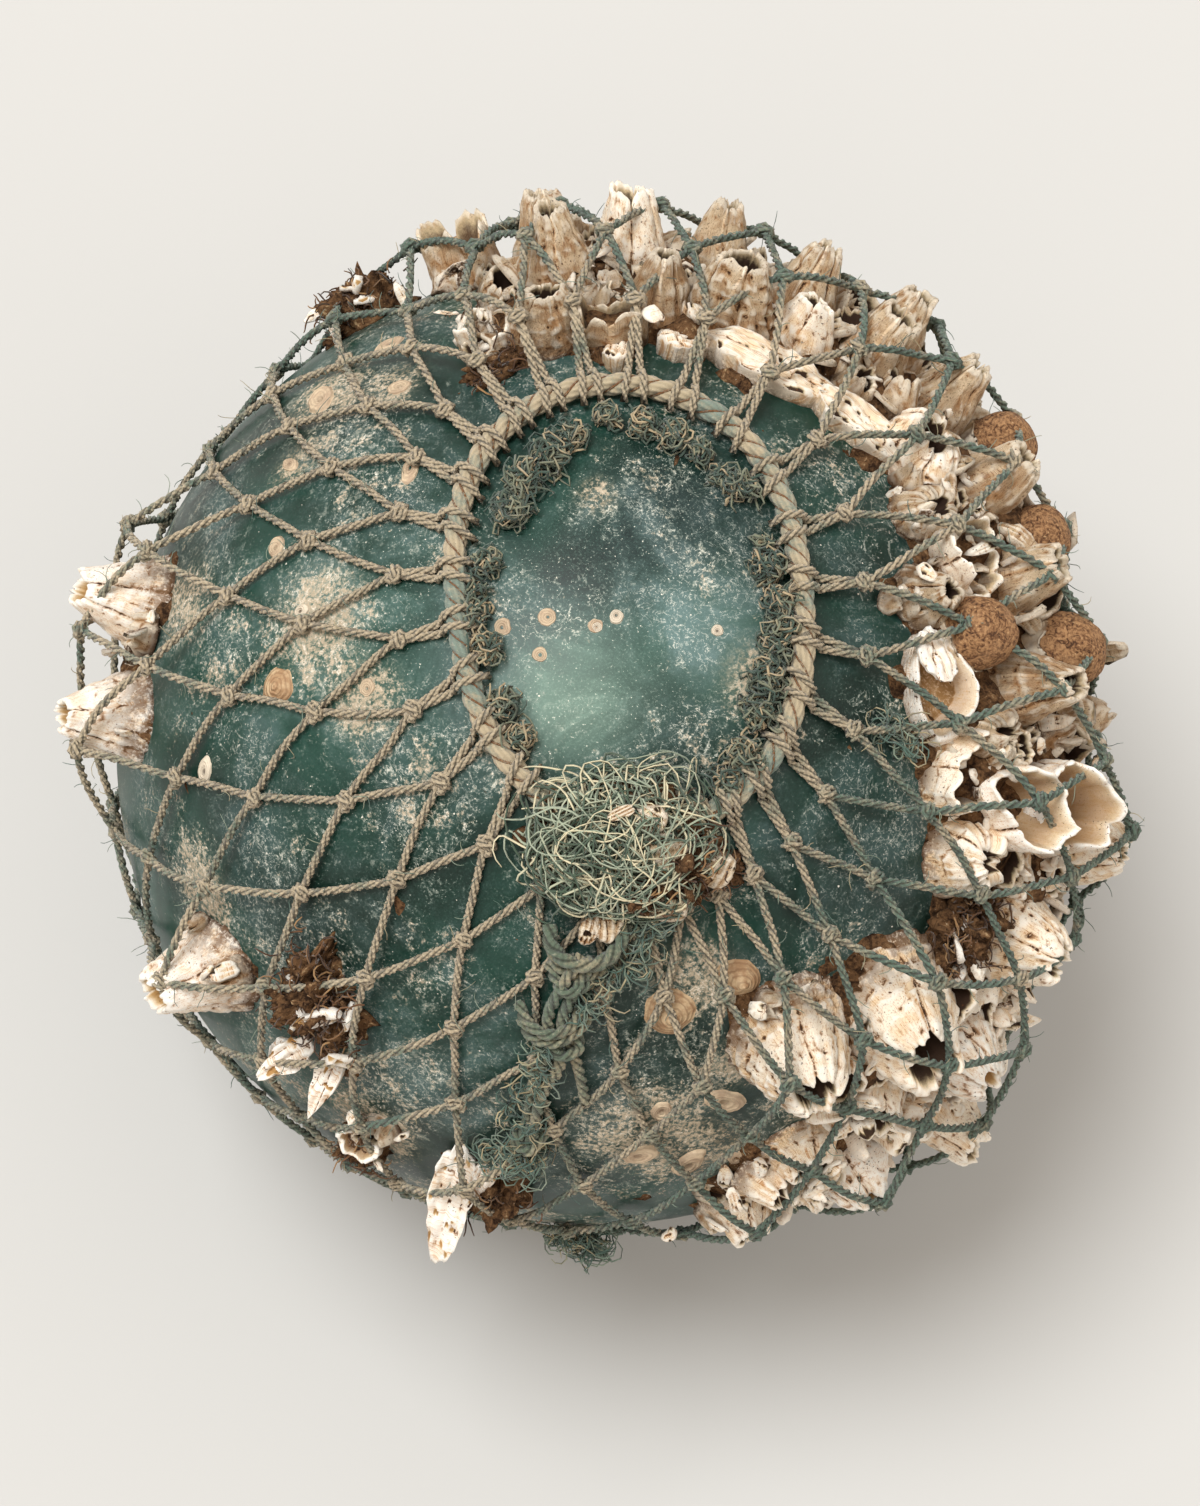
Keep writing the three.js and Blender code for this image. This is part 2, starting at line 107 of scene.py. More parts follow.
# ---- growths: kind, polar, azimuth, width, depth, height, turn, lean ----
GROWTHS = [
    ("barnacle", 46, 112, 32, 31, 32, 0, 10),
    ("barnacle", 38.5, 117, 28, 30, 21, 190, 20),
    ("broken_shell", 40, 126, 17, 20, 13, 150, 15),
    ("broken_shell", 36.5, 105.5, 19, 25, 20, 180, 16),
    ("shell_plate", 31.5, 104, 13, 9, 9, 170, 0),
    ("barnacle", 41.5, 96.5, 26, 25, 26, 180, 10),
    ("barnacle", 52, 101, 29, 28, 31, 0, 8),
    ("barnacle", 57, 111, 27, 27, 29, 0, 8),
    ("barnacle", 43, 84.5, 32, 33, 29, 180, 14),
    ("shell_plate", 35, 91, 15, 13, 9, 120, 0),
    ("shell_plate", 36, 73, 16, 42, 11, 10, 0),
    ("shell_plate", 38, 54, 15, 34, 10, 20, 0),
    ("broken_shell", 62.5, 121, 21, 24, 24, 0, 10),
    ("barnacle", 55, 89, 30, 28, 30, 0, 6),
    ("barnacle", 45, 73, 24, 26, 21, 180, 8),
    ("barnacle", 54, 76, 28, 28, 28, 0, 6),
    ("barnacle", 48, 62.5, 26, 27, 27, 0, 6),
    ("barnacle", 58, 64, 28, 27, 28, 0, 6),
    ("rock_barnacle", 44, 46, 32, 30, 18, 40, 0),
    ("rock_barnacle", 39, 34.5, 24, 23, 14, 0, 0),
    ("barnacle", 53, 52, 27, 26, 28, 0, 8),
    ("barnacle", 50.5, 38, 25, 26, 26, 0, 8),
    ("broken_shell", 42, 25.5, 24, 27, 20, 200, 14),
    ("barnacle", 36, 18, 23, 24, 18, 215, 15),
    ("barnacle", 49, 23, 24, 25, 26, 0, 8),
    ("barnacle", 49, 7, 27, 27, 28, 0, 8),
    ("brown_dome", 59, 44, 23, 23, 33, 0, 6),
    ("brown_dome", 56, 30, 22, 22, 31, 0, 6),
    ("brown_dome", 40, 12, 24, 23, 21, 0, 4),
    ("brown_dome", 57, 15, 24, 25, 34, 0, 6),
    ("oyster_shell", 37.5, 1, 23, 35, 14, 25, 0),
    ("rock_barnacle", 46, 358, 20, 24, 19, 0, 0),
    ("broken_shell", 43.5, 350, 22, 28, 16, 0, 10),
    ("broken_shell", 51.5, 350.5, 28, 27, 26, 0, 16),
    ("broken_shell", 60, 355, 30, 30, 30, 0, 12),
    ("rock_barnacle", 50.5, 341, 28, 27, 18, 0, 0),
    ("barnacle", 66, 340, 34, 33, 29, 10, 12),
    ("barnacle", 59, 321.5, 42, 40, 30, -15, 22),
    ("barnacle", 55, 306.5, 37, 36, 27, -5, 26),
    ("barnacle", 73, 327, 34, 32, 29, 0, 12),
    ("brown_clump", 57.5, 333.5, 19, 16, 11, 0, 0),
    ("barnacle", 72, 356, 30, 30, 29, 0, 10),
    ("barnacle", 76, 306, 22, 28, 13, 0, 8),
    ("barnacle", 87, 299, 25, 25, 17, 0, 10),
    ("barnacle", 85, 312, 32, 30, 27, 0, 12),
    ("barnacle", 89, 325, 32, 30, 27, 0, 10),
    ("barnacle", 69.5, 182, 32, 33, 25, 0, 8),
    ("barnacle", 72, 195.5, 32, 31, 25, 0, 8),
    ("barnacle", 72, 229, 32, 32, 23, -25, 24),
    ("brown_clump", 61, 243, 24, 26, 12, 0, 0),
    ("shell_plate", 70.5, 247.5, 19, 10, 11, 0, 16),
    ("broken_shell", 80, 254, 10, 15, 8, 0, 0),
    ("shell_plate", 79, 266.5, 32, 14, 14, 0, 30),
    ("brown_clump", 70.5, 134, 19, 25, 12, 0, 0),
]
NEST = {"polar": 27.5, "azimuth": 281, "width": 45, "depth": 64, "height": 17}

# ---- camera and light ----
CAMERA_ELEVATION = 72.5
CAMERA_ROLL = 13
CAMERA_LENS = 112.3
CAMERA_DISTANCE = 1.5
CAMERA_ASIDE = 0.00143
CAMERA_RISE = -0.00238
KEY_POLAR = 19
KEY_AZIMUTH = 174
KEY_SPREAD = 26
KEY_POWER = 2.60
KEY_COLOUR = (0.94, 0.98, 1.0)
ROOM_LIGHT = 0.86
ROOM_COLOUR = (1.0, 0.935, 0.86, 1.0)


# ---- places on the ball ----
def direction(polar, azimuth):
    """The unit direction of a polar angle and an azimuth, which may be arrays."""
    tilt, turn = np.broadcast_arrays(np.radians(polar), np.radians(azimuth))
    return np.stack([np.sin(tilt) * np.cos(turn), np.sin(tilt) * np.sin(turn), np.cos(tilt)], -1)


def on_ball(way, height):
    """The points at a height above the glass in the given unit directions."""
    return BALL_CENTRE + way * (BALL_RADIUS + np.asarray(height, float)[..., None])


def place(polar, azimuth, height):
    """The point at a height above a spot on the glass."""
    return on_ball(direction(polar, azimuth), height)


def apart_from(polar, azimuth, way):
    """How far over the glass a spot lies from the given unit directions."""
    return BALL_RADIUS * np.arccos(np.clip(way @ direction(polar, azimuth), -1, 1))


def unit(vectors):
    return vectors / np.maximum(np.linalg.norm(vectors, axis=-1, keepdims=True), 1e-9)


def local_axes(polar, azimuth, turn=0):
    """Along, aside and up of a spot on the ball, turned about up."""
    up = direction(polar, azimuth)
    away = direction(polar + 90, azimuth)
    across = direction(90, azimuth + 90)
    c, s = math.cos(math.radians(turn)), math.sin(math.radians(turn))
    return np.stack([away * c + across * s, across * c - away * s, up])


def collar_polar(azimuth):
    """The polar angle of the oval collar at an azimuth."""
    return COLLAR_POLAR + COLLAR_OVAL * np.cos(np.radians(2 * (azimuth - OVAL_AZIMUTH)))


def knot_azimuth(row, column):
    """The azimuths of knots; each row starts half a column after the one above."""
    even = FIRST_AZIMUTH + 360 / COLUMNS * (column + (row - 1) / 2)
    strength = max(0, 1 - (row - 1) / SQUEEZE_ROWS)
    squeeze = SQUEEZE * np.sin(np.radians(2 * (even - SQUEEZE_AZIMUTH)))
    return even + strength * (squeeze + DRIFT * np.sin(np.radians(even - DRIFT_AZIMUTH)))


def knot_polar(row, azimuth):
    """The polar angles of knots; the first rows are oval like the collar, the later ones round."""
    fade = math.exp(-(row - 1) / ROW_OVAL_FADE)
    oval = ROW_OVAL * np.cos(np.radians(2 * (azimuth - OVAL_AZIMUTH)))
    return FIRST_ROW_POLAR + (row - 1) * ROW_PITCH + fade * oval


def ride_height(way):
    """How far the growths lift the net off the glass in the given unit directions."""
    ride = np.zeros(way.shape[:-1])
    for kind, polar, azimuth, width, depth, height, _, _ in GROWTHS:
        reach = (width + depth) / 4 + NET_RIDE_MARGIN
        share = DOME_RIDE if kind == "brown_dome" else NET_RIDE
        fall = np.exp(-((apart_from(polar, azimuth, way) / reach) ** 3))
        ride = np.maximum(ride, share * height * fall)
    return ride


# ---- noise ----
def lattice(cell, seed):
    """A repeatable number from -1 to 1 for each whole-numbered cell."""
    mixed = cell[..., 0] * 73856093 ^ cell[..., 1] * 19349663 ^ cell[..., 2] * 83492791 ^ seed * 961748941
    mixed = (mixed ^ mixed >> 15) * 2246822519 & 0xFFFFFFFF
    mixed = (mixed ^ mixed >> 13) * 3266489917 & 0xFFFFFFFF
    return (mixed >> 16 & 0xFFFF) / 32767.5 - 1


def noise(points, size, seed):
    """Smooth noise from -1 to 1, with lumps of about the given size."""
    scaled = np.asarray(points, float) / size
    cell = np.floor(scaled).astype(np.int64)
    part = scaled - cell
    ease = part * part * (3 - 2 * part)
    total = 0
    for corner in itertools.product((0, 1), repeat=3):
        share = np.prod(np.where(np.array(corner, bool), ease, 1 - ease), axis=-1)
        total = total + share * lattice(cell + np.array(corner), seed)
    return total


def rough(points, size, seed, octaves=3):
    """Noise with finer and finer lumps on it."""
    return sum(noise(points, size / 2**i, seed + i) / 2**i for i in range(octaves))


def offsets(source, points, *settings):
    """Three runs of a noise, as an offset in x, y and z for each point."""
    return np.stack([source(points + shift, *settings) for shift in (0, 50, 100)], -1)


def ripple(angle, waves, seed, level=0.0):
    """Noise round a circle, with no seam, which may change with level."""
    turn = np.stack(np.broadcast_arrays(np.cos(angle) * waves, np.sin(angle) * waves, level), -1)
    return noise(turn + 40, 1.0, seed)


def clip01(value):
    return np.clip(value, 0, 1)


def ramp(value, low, high):
    """0 below low, 1 above high, and a smooth rise between."""
    part = clip01((value - low) / (high - low))
    return part * part * (3 - 2 * part)


# ---- meshes ----
HOLLOW_GAIN = 1.6


class Bundle:
    """Points and faces gathered for one piece, with marks at each point that the finishes read."""

    def __init__(self):
        self.points, self.triangles, self.quads, self.marks, self.count = [], [], [], [], 0

    def add(self, points, faces, **marks):
        """Adds points and a list of face arrays; each mark is a number or an array, one for each point."""
        points = np.reshape(points, (-1, 3))
        for face in faces:
            keep = self.triangles if face.shape[-1] == 3 else self.quads
            keep.append(face.reshape(-1, face.shape[-1]) + self.count)
        self.points.append(points)
        self.marks.append({name: np.broadcast_to(np.ravel(value) if np.ndim(value) else value, len(points))
                           for name, value in marks.items()})
        self.count += len(points)

    def piece(self, name, finish, slot, *nodes):
        """Makes the object, which rides on the float and stands for the given nodes."""
        quads = np.concatenate(self.quads) if self.quads else np.zeros((0, 4), int)
        triangles = np.concatenate(self.triangles) if self.triangles else np.zeros((0, 3), int)
        mesh = bpy.data.meshes.new(name)
        mesh.vertices.add(self.count)
        mesh.vertices.foreach_set("co", (np.concatenate(self.points) * MM).ravel())
        mesh.loops.add(quads.size + triangles.size)
        mesh.loops.foreach_set("vertex_index", np.concatenate([quads.ravel(), triangles.ravel()]))
        mesh.polygons.add(len(quads) + len(triangles))
        starts = np.concatenate([np.arange(len(quads)) * 4, quads.size + np.arange(len(triangles)) * 3])
        mesh.polygons.foreach_set("loop_start", starts)
        for mark in self.marks[0]:
            values = np.concatenate([marks[mark] for marks in self.marks]).astype(np.float32)
            mesh.attributes.new(mark, "FLOAT", "POINT").data.foreach_set("value", values)
        mesh.update(calc_edges=True)
        mesh.polygons.foreach_set("use_smooth", np.ones(len(mesh.polygons), bool))
        if "valley" not in self.marks[0]:
            mark_hollows(mesh)
        return finished(bpy.data.objects.new(name, mesh), finish, slot, *nodes)


def mark_hollows(mesh):
    """Marks each point by how far it lies in a hollow, above 0.5, or on a crest, below 0.5."""
    count = len(mesh.vertices)
    ends, points, normals = np.zeros(len(mesh.edges) * 2, int), np.zeros(count * 3), np.zeros(count * 3)
    mesh.edges.foreach_get("vertices", ends)
    mesh.vertices.foreach_get("co", points)
    mesh.vertices.foreach_get("normal", normals)
    first, second = ends.reshape(-1, 2).T
    points, normals = points.reshape(-1, 3), normals.reshape(-1, 3)
    degree = np.maximum(np.bincount(first, minlength=count) + np.bincount(second, minlength=count), 1)

    def mean(to_first, to_second):
        """The mean, over the edges at each point, of what an edge brings to its first and second end."""
        return (np.bincount(first, to_first, count) + np.bincount(second, to_second, count)) / degree

    middle = np.stack([mean(points[second, k], points[first, k]) for k in range(3)], -1)
    length = np.linalg.norm(points[first] - points[second], axis=-1)
    bend = ((middle - points) * normals).sum(-1) / np.maximum(mean(length, length), 1e-6)
    bend = bend * 0.5 + mean(bend[second], bend[first]) * 0.5
    hollow = clip01(0.5 + HOLLOW_GAIN * bend).astype(np.float32)
    mesh.attributes.new("hollow", "FLOAT", "POINT").data.foreach_set("value", hollow)


def finished(item, finish, slot, *nodes):
    """Gives a piece its finish and ties it to the frame."""
    if item.name not in bpy.context.scene.collection.objects:
        bpy.context.scene.collection.objects.link(item)
    item.data.materials.clear()
    item.data.materials.append(finish)
    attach(item, "root")
    if nodes:
        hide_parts(*nodes)
    return item


def select_none(kind):
    """Clears the selection in the mesh in hand and sets the kind of part that edits work on."""
    bpy.ops.object.mode_set(mode="EDIT")
    bpy.ops.mesh.select_mode(type=kind)
    bpy.ops.mesh.select_all(action="DESELECT")
    bpy.ops.object.mode_set(mode="OBJECT")


def new_ball(name, radius, sides):
    """A sphere round the middle of the ball, as the object in hand."""
    bpy.ops.object.select_all(action="DESELECT")
    bpy.ops.mesh.primitive_uv_sphere_add(segments=sides, ring_count=sides // 2, radius=radius * MM,
                                         location=tuple(BALL_CENTRE * MM))
    ball = bpy.context.object
    ball.name = name
    bpy.ops.object.transform_apply(location=True, rotation=True, scale=True)
    return ball


def blank(sides, rings):
    """A capped tube modelled once: its ring numbers, angles and faces, for shapes turned from it.

    The two cap centres, which middle marks, have the ring numbers -1 and rings + 1.
    """
    bpy.ops.object.select_all(action="DESELECT")
    bpy.ops.mesh.primitive_cylinder_add(vertices=sides, radius=1, depth=rings, end_fill_type="TRIFAN")
    tube = bpy.context.object
    select_none("EDGE")
    for edge in tube.data.edges:
        low, high = (tube.data.vertices[i].co.z for i in edge.vertices)
        edge.select = abs(high - low) > rings / 2
    bpy.ops.object.mode_set(mode="EDIT")
    bpy.ops.mesh.subdivide(number_cuts=rings - 1)
    bpy.ops.object.mode_set(mode="OBJECT")
    points = np.zeros(len(tube.data.vertices) * 3)
    tube.data.vertices.foreach_get("co", points)
    x, y, z = points.reshape(-1, 3).T
    middle = np.hypot(x, y) < 0.5
    ring = np.round(z + rings / 2) + np.where(middle, np.where(z > 0, 1, -1), 0)
    faces = [np.array([p.vertices[:] for p in tube.data.polygons if len(p.vertices) == n]) for n in (3, 4)]
    bpy.data.objects.remove(tube)
    return SimpleNamespace(rings=rings, ring=ring, angle=np.arctan2(y, x), middle=middle, faces=faces)


# ---- cords ----
def laid_section(strands, radius):
    """Angles, radii and valley marks round a laid cord: for each strand a valley and two shoulders."""
    lobe = TAU / strands
    angles = np.arange(strands)[:, None] * lobe + np.array([-lobe / 2, -lobe / 6, lobe / 6])
    reach = np.tile([VALLEY_REACH, 1.0, 1.0], strands) * radius
    return angles.ravel(), reach, np.tile([1.0, 0.0, 0.0], strands)


def round_section(sides, radius):
    """The same for a plain round cord, which has no valleys."""
    return np.arange(sides) * TAU / sides, np.full(sides, radius), np.zeros(sides)


def tubes(bundle, paths, ups, section, lay=None, taper=None, **marks):
    """Adds closed tubes along paths (tube, step, xyz), with their section turned once in each lay.

    It marks along in mm, around in radians, and valley, which is 1 between two strands.
    """
    paths = np.asarray(paths, float)
    count, steps, _ = paths.shape
    angles, reach, valley = section
    columns = len(angles)
    ahead = unit(np.gradient(paths, axis=1))
    side = unit(np.cross(ahead, ups))
    lift = np.cross(side, ahead)
    along = np.cumsum(np.linalg.norm(np.diff(paths, axis=1, prepend=paths[:, :1]), axis=-1), axis=1)
    turn = along * (TAU / lay if lay else 0)
    around = angles + turn[..., None]
    size = reach * (1 if taper is None else np.asarray(taper)[..., None])
    rim = (paths[:, :, None] + side[:, :, None] * (np.cos(around) * size)[..., None]
           + lift[:, :, None] * (np.sin(around) * size)[..., None])
    points = np.concatenate([rim.reshape(count, -1, 3), paths[:, :1], paths[:, -1:]], axis=1)
    each = steps * columns + 2
    first = np.arange(count)[:, None, None] * each
    ring = np.arange(steps - 1)[None, :, None] * columns
    column = np.arange(columns)[None, None, :]
    following = (column + 1) % columns
    here, beyond = first + ring, first + ring + columns
    quads = np.stack([here + column, beyond + column, beyond + following, here + following], -1)
    first, column, following = first[:, :, 0], column[0], following[0]
    last = first + (steps - 1) * columns
    start_centre = np.broadcast_to(first + each - 2, (count, columns))
    start_cap = np.stack([start_centre, first + column, first + following], -1)
    end_cap = np.stack([start_centre + 1, last + following, last + column], -1)

    def with_ends(values):
        """Values for every point, from one for all, one for each tube, or one for each tube and step."""
        values = np.asarray(values)
        if values.ndim in (1, 2):
            values = values.reshape(*values.shape, *[1] * (3 - values.ndim))
        flat = np.broadcast_to(values, (count, steps, columns)).reshape(count, -1)
        return np.concatenate([flat, flat[:, :1], flat[:, -1:]], axis=1)

    marks = {"along": along, "around": angles[None, None], "valley": valley[None, None], **marks}
    bundle.add(points, [quads, start_cap, end_cap], **{name: with_ends(marks[name]) for name in marks})


def between(start, end, steps):
    """Unit directions (line, step, xyz) on the great circles from start to end."""
    share = np.linspace(0, 1, steps)[None, :, None]
    return unit(start[:, None] * (1 - share) + end[:, None] * share)


# ---- finishes ----
def tint(code):
    """The linear colour of a six-figure colour code."""
    levels = [int(code[i:i + 2], 16) / 255 for i in (0, 2, 4)]
    return [*(v / 12.92 if v <= 0.04045 else ((v + 0.055) / 1.055) ** 2.4 for v in levels), 1.0]


class Wire:
    """One shader socket; arithmetic on it adds Math nodes."""

    def __init__(self, finish, socket):
        self.finish, self.socket = finish, socket

    def math(self, operation, *terms, clamp=False):
        return self.finish.node("ShaderNodeMath", {"operation": operation, "use_clamp": clamp}, terms)

    def __add__(self, other):
        return self.math("ADD", self, other)

    __radd__ = __add__

    def __sub__(self, other):
        return self.math("SUBTRACT", self, other)

    def __rsub__(self, other):
        return self.math("SUBTRACT", other, self)

    def __mul__(self, other):
        return self.math("MULTIPLY", self, other)

    def __truediv__(self, other):
        return self.math("DIVIDE", self, other)

    def held(self):
        """The value held between 0 and 1."""
        return self.math("ADD", self, 0.0, clamp=True)

    def rise(self, low, high):
        """0 below low, 1 above high, and a smooth rise between; low may be the higher one."""
        return self.finish.node("ShaderNodeMapRange", {"interpolation_type": "SMOOTHSTEP"},
                                {"Value": self, "From Min": low, "From Max": high})


class Finish:
    """A material and the few kinds of node that the finishes of this float are made of."""

    def __init__(self, name):
        self.material = bpy.data.materials.new(name)
        self.material.use_nodes = True
        self.material.node_tree.nodes.clear()
        self.place = self.node("ShaderNodeTexCoord", {}, {}, "Object")

    def node(self, kind, settings, sockets, output=0):
        """Adds a node: its settings first, then its sockets by name or in order."""
        made = self.material.node_tree.nodes.new(kind)
        for name, value in settings.items():
            setattr(made, name, value)
        for key, value in (sockets.items() if isinstance(sockets, dict) else enumerate(sockets)):
            if isinstance(value, Wire):
                self.material.node_tree.links.new(value.socket, made.inputs[key])
            elif value is not None:
                made.inputs[key].default_value = value
        return Wire(self, made.outputs[output]) if made.outputs else None

    def mark(self, name):
        """A mark of the piece's points."""
        return self.node("ShaderNodeAttribute", {"attribute_name": name}, {}, "Fac")

    def noise(self, size, detail=3.0, rough=0.55, bend=0.0, at=None):
        """Noise of about 0.5 on average; size is the size of its lumps in mm."""
        sockets = {"Vector": at or self.place, "Scale": 1 / (size * MM), "Detail": detail,
                   "Roughness": rough, "Distortion": bend}
        return self.node("ShaderNodeTexNoise", {}, sockets)

    def near(self, polar, azimuth, far, full):
        """1 within full mm of a spot on the glass, falling to 0 at far."""
        spot = tuple(place(polar, azimuth, 0) * MM)
        apart = self.node("ShaderNodeVectorMath", {"operation": "DISTANCE"}, [self.place, spot], "Value")
        return (apart / MM).rise(far, full)

    def line(self, size, width):
        """Thin wandering lines, along the middle level of noise of a size."""
        off = self.noise(size, 5, 0.6, 0.8) - 0.5
        return off.math("ABSOLUTE", off).rise(width, 0)

    def stretch(self, x, y, z):
        """A vector made of three values, for a pattern that follows the piece."""
        return self.node("ShaderNodeCombineXYZ", {}, [x, y, z])

    def colour(self, first, *layers):
        """A colour with layers over it, each with its share; colours are codes or wires."""
        for second, share in layers:
            first, second = (tint(c) if isinstance(c, str) else c for c in (first, second))
            first = self.node("ShaderNodeMix", {"data_type": "RGBA"}, {0: share, 6: first, 7: second}, 2)
        return first

    def bump(self, height, distance, strength):
        """A bumped normal; distance is in mm."""
        sockets = {"Height": height, "Distance": distance * MM, "Strength": strength}
        return self.node("ShaderNodeBump", {}, sockets)

    def surface(self, colour, roughness, normal=None, specular=None, clear=None, bend=None, sheen=None,
                sheen_roughness=None):
        """The main shader; None leaves a socket at Blender's own value."""
        sockets = {"Base Color": colour, "Roughness": roughness, "Normal": normal, "IOR": bend,
                   "Specular IOR Level": specular, "Transmission Weight": clear, "Sheen Weight": sheen,
                   "Sheen Roughness": sheen_roughness}
        return self.node("ShaderNodeBsdfPrincipled", {}, sockets)

    def done(self, shader):
        """Puts the shader on the material and returns the material."""
        self.node("ShaderNodeOutputMaterial", {}, {"Surface": shader})
        return self.material


# Where dirt lies thick on the glass, and where the glass is clean: polar, azimuth, radius, and the
# radius of the full middle.
DIRTY_PLACES = [(36, 193, 24, 5), (32, 212, 18, 3.6), (60, 184, 22, 4.4), (66, 220, 20, 4),
                (52, 150, 24, 4.8), (43, 143, 16, 3.2), (17.5, 340, 17, 3.4), (67, 288, 32, 6.4),
                (44, 294, 20, 4), (73, 295, 22, 4.4), (57, 300, 18, 3.6), (80, 255, 26, 5.2),
                (47, 163, 15, 3), (12, 120, 10, 2)]
CLEAN_PLACES = [(28, 30, 45, 12), (27, 5, 40, 12), (38, 335, 38, 11.4), (42, 66, 40, 12),
                (52, 205, 20, 6), (58, 270, 16, 4.8)]


def glass_finish():
    """Deep sea-green glass, cloudy and scratched, under dried salt, silt and old growth marks, with a painted
    dark reflection on the crown and a painted pale highlight glow.
    """
    f = Finish("old_float_glass")
    cloud = f.noise(70, 4, 0.55, 0.6)
    wash = f.noise(34, 9, 0.68, 0.5)
    patch = f.noise(40, 4, 0.55, 0.5)
    fine = f.noise(1.4, 6, 0.72)
    dust = f.noise(0.7, 3, 0.7)
    grain = fine.rise(0.42, 0.58)
    # Painted dark reflection: a dark slate patch on the crown, where the glass would mirror the dim room.
    painted_dark_reflection = f.near(9, 80, 34, 8)
    # Painted highlight: a pale green glow where the key light's soft reflection falls.
    painted_glow = f.near(13.6, 254, 36, 4) * (wash * 0.7 + 0.6)
    window = f.near(11, 200, 62, 34)
    green = f.colour("0a2a20", ("135040", cloud.rise(0.36, 0.66)), ("1f4a46", wash.rise(0.46, 0.72) * 0.6),
                     ("172d2f", (painted_dark_reflection * 0.85).held()))

    dirty = sum(f.near(*spot) for spot in DIRTY_PLACES).held()
    clean = sum(f.near(*spot) for spot in CLEAN_PLACES).held()
    more = (patch - 0.5) * 0.55 + dirty * 0.12 - window * 0.055 - clean * 0.09
    crust = grain * 0.6 + 0.4
    silt = f.noise(11, 10, 0.78, 0.5) + more + (fine - 0.5) * 0.34
    silt = (silt.rise(0.555, 0.66) * crust).held()
    salt = f.noise(5.5, 8, 0.76, 0.8) + more * 0.7 + (fine - 0.5) * 0.45
    salt = (salt.rise(0.52, 0.66) * crust).held()
    dusty = dirty * (grain * 0.6 + 0.15)
    web = f.line(8, 0.016) * patch.rise(0.42, 0.58) + f.line(3.5, 0.02) * wash.rise(0.46, 0.60)
    web = web.held() * fine.rise(0.40, 0.52)
    flecks = dust.rise(0.65, 0.71) * (patch.rise(0.30, 0.6) + window * 0.6).held()
    flecks = (flecks + f.noise(2.0, 2, 0.6).rise(0.735, 0.77)).held()
    # The haze is the frosting of the glass, with the painted highlight glow added in.
    haze_and_painted_glow = wash.rise(0.36, 0.76) * (window * 0.24 + 0.16) + painted_glow * 0.35
    haze_and_painted_glow = haze_and_painted_glow + dust.rise(0.45, 0.75) * (window * 0.14 + 0.12) + f.near(12, 345, 34, 6) * 0.36
    haze_and_painted_glow = haze_and_painted_glow + f.near(34, 196, 56, 8) * wash.rise(0.3, 0.6) * 0.30
    haze_and_painted_glow = (haze_and_painted_glow + f.near(60, 262, 60, 10) * wash.rise(0.4, 0.7) * 0.22).held()
    film = f.colour("64877b", ("8aa3a2", wash.rise(0.40, 0.66) * 0.8), ("9db9a6", (painted_glow * 0.8).held()),
                    ("aeb5a8", salt), ("b59c7b", dusty), ("b3a28a", silt),
                    ("d8cab4", silt * fine.rise(0.54, 0.70) * 0.8), ("f0e8d8", (flecks + web * 0.6).held()))
    cover = (haze_and_painted_glow + salt * 0.34 + silt * 0.66 + dusty * 0.50 + flecks * 0.8 + web * 0.5).held()
    dimple = f.bump(f.noise(24, 2), 0.5, 0.35)
    clear = f.surface(green, (wash * 0.2 + 0.32).held(), dimple, specular=0.3, clear=0.55, bend=1.45)
    dull = f.surface(film, 0.8, f.bump(fine, 0.10, 0.7), specular=0.2)
    return f.done(f.node("ShaderNodeMixShader", {}, [cover, clear, dull]))


def inner_glass_finish():
    """The clean inside of the wall, which tints what is seen through it."""
    f = Finish("float_glass_within")
    colour = f.colour("3f7f68", ("2c6650", f.noise(60, 3)))
    return f.done(f.surface(colour, (f.noise(30, 3) * 0.1 + 0.05).held(), clear=0.9, bend=1.5))


def cord_finish(name, dust, green, shade_and_speck_colour, yarns=9.0, pitch=1.4, greenness=0.0, thread=None):
    """Laid cord: dusty where it is worn and green where it is less worn, with fine yarns across the lay, and
    dark painted shade in the valleys between strands and the troughs of the yarns.
    """
    f = Finish(name)
    along, around, valley, worn = (f.mark(mark) for mark in ("along", "around", "valley", "worn"))
    lot = f.mark("lot")
    turn = around * (yarns / 3) + along * (TAU / pitch)
    yarn = turn.math("SINE", turn)
    streak = f.noise(0.30, 3, 0.65, at=f.stretch(around * 0.0012, along * 0.00022, lot * 0.01))
    stain = f.noise(16, 6, 0.65, 0.5)
    fine = f.noise(0.9, 5, 0.7)
    fresh = (stain - 0.5) * 2.6 + (fine - 0.5) * 0.9 + (0.86 + greenness) - worn
    # Painted shade in the valleys between strands and in the troughs of the yarns, with dark specks of the
    # yarn itself.
    shade_and_specks = valley.rise(0.35, 1.0) * 0.8 + fine.rise(0.58, 0.70) * 0.35 + yarn.rise(0.4, -1.0) * 0.16
    layers = [(green, fresh.rise(0.10, 0.72)),
              ("d9ccb0", (streak.rise(0.52, 0.72) * fine.rise(0.4, 0.6)).held() * 0.6),
              (shade_and_speck_colour, shade_and_specks.held())]
    if thread:
        layers.append((thread, lot.rise(THREAD_LOT - 0.6, THREAD_LOT - 0.4) * fine.rise(0.36, 0.52)))
    bump = f.bump(yarn * 0.5 + fine, 0.35, 0.9)
    colour = f.colour(dust, *layers)
    return f.done(f.surface(colour, 0.92, bump, specular=0.2, sheen=0.2, sheen_roughness=0.6))


def fibre_finish(name, first, second, third):
    """Loose frayed fibre; each fibre has its own lot number, which sets its colour."""
    f = Finish(name)
    lot = f.mark("lot")
    colour = f.colour(first, (second, lot.rise(0.25, 0.6)), (third, lot.rise(0.72, 0.9)),
                      ("3a4038", f.noise(5, 3).rise(0.5, 0.75) * 0.45))
    return f.done(f.surface(colour, 0.85, f.bump(f.noise(0.8, 3), 0.2, 0.6), specular=0.25, sheen=0.2))


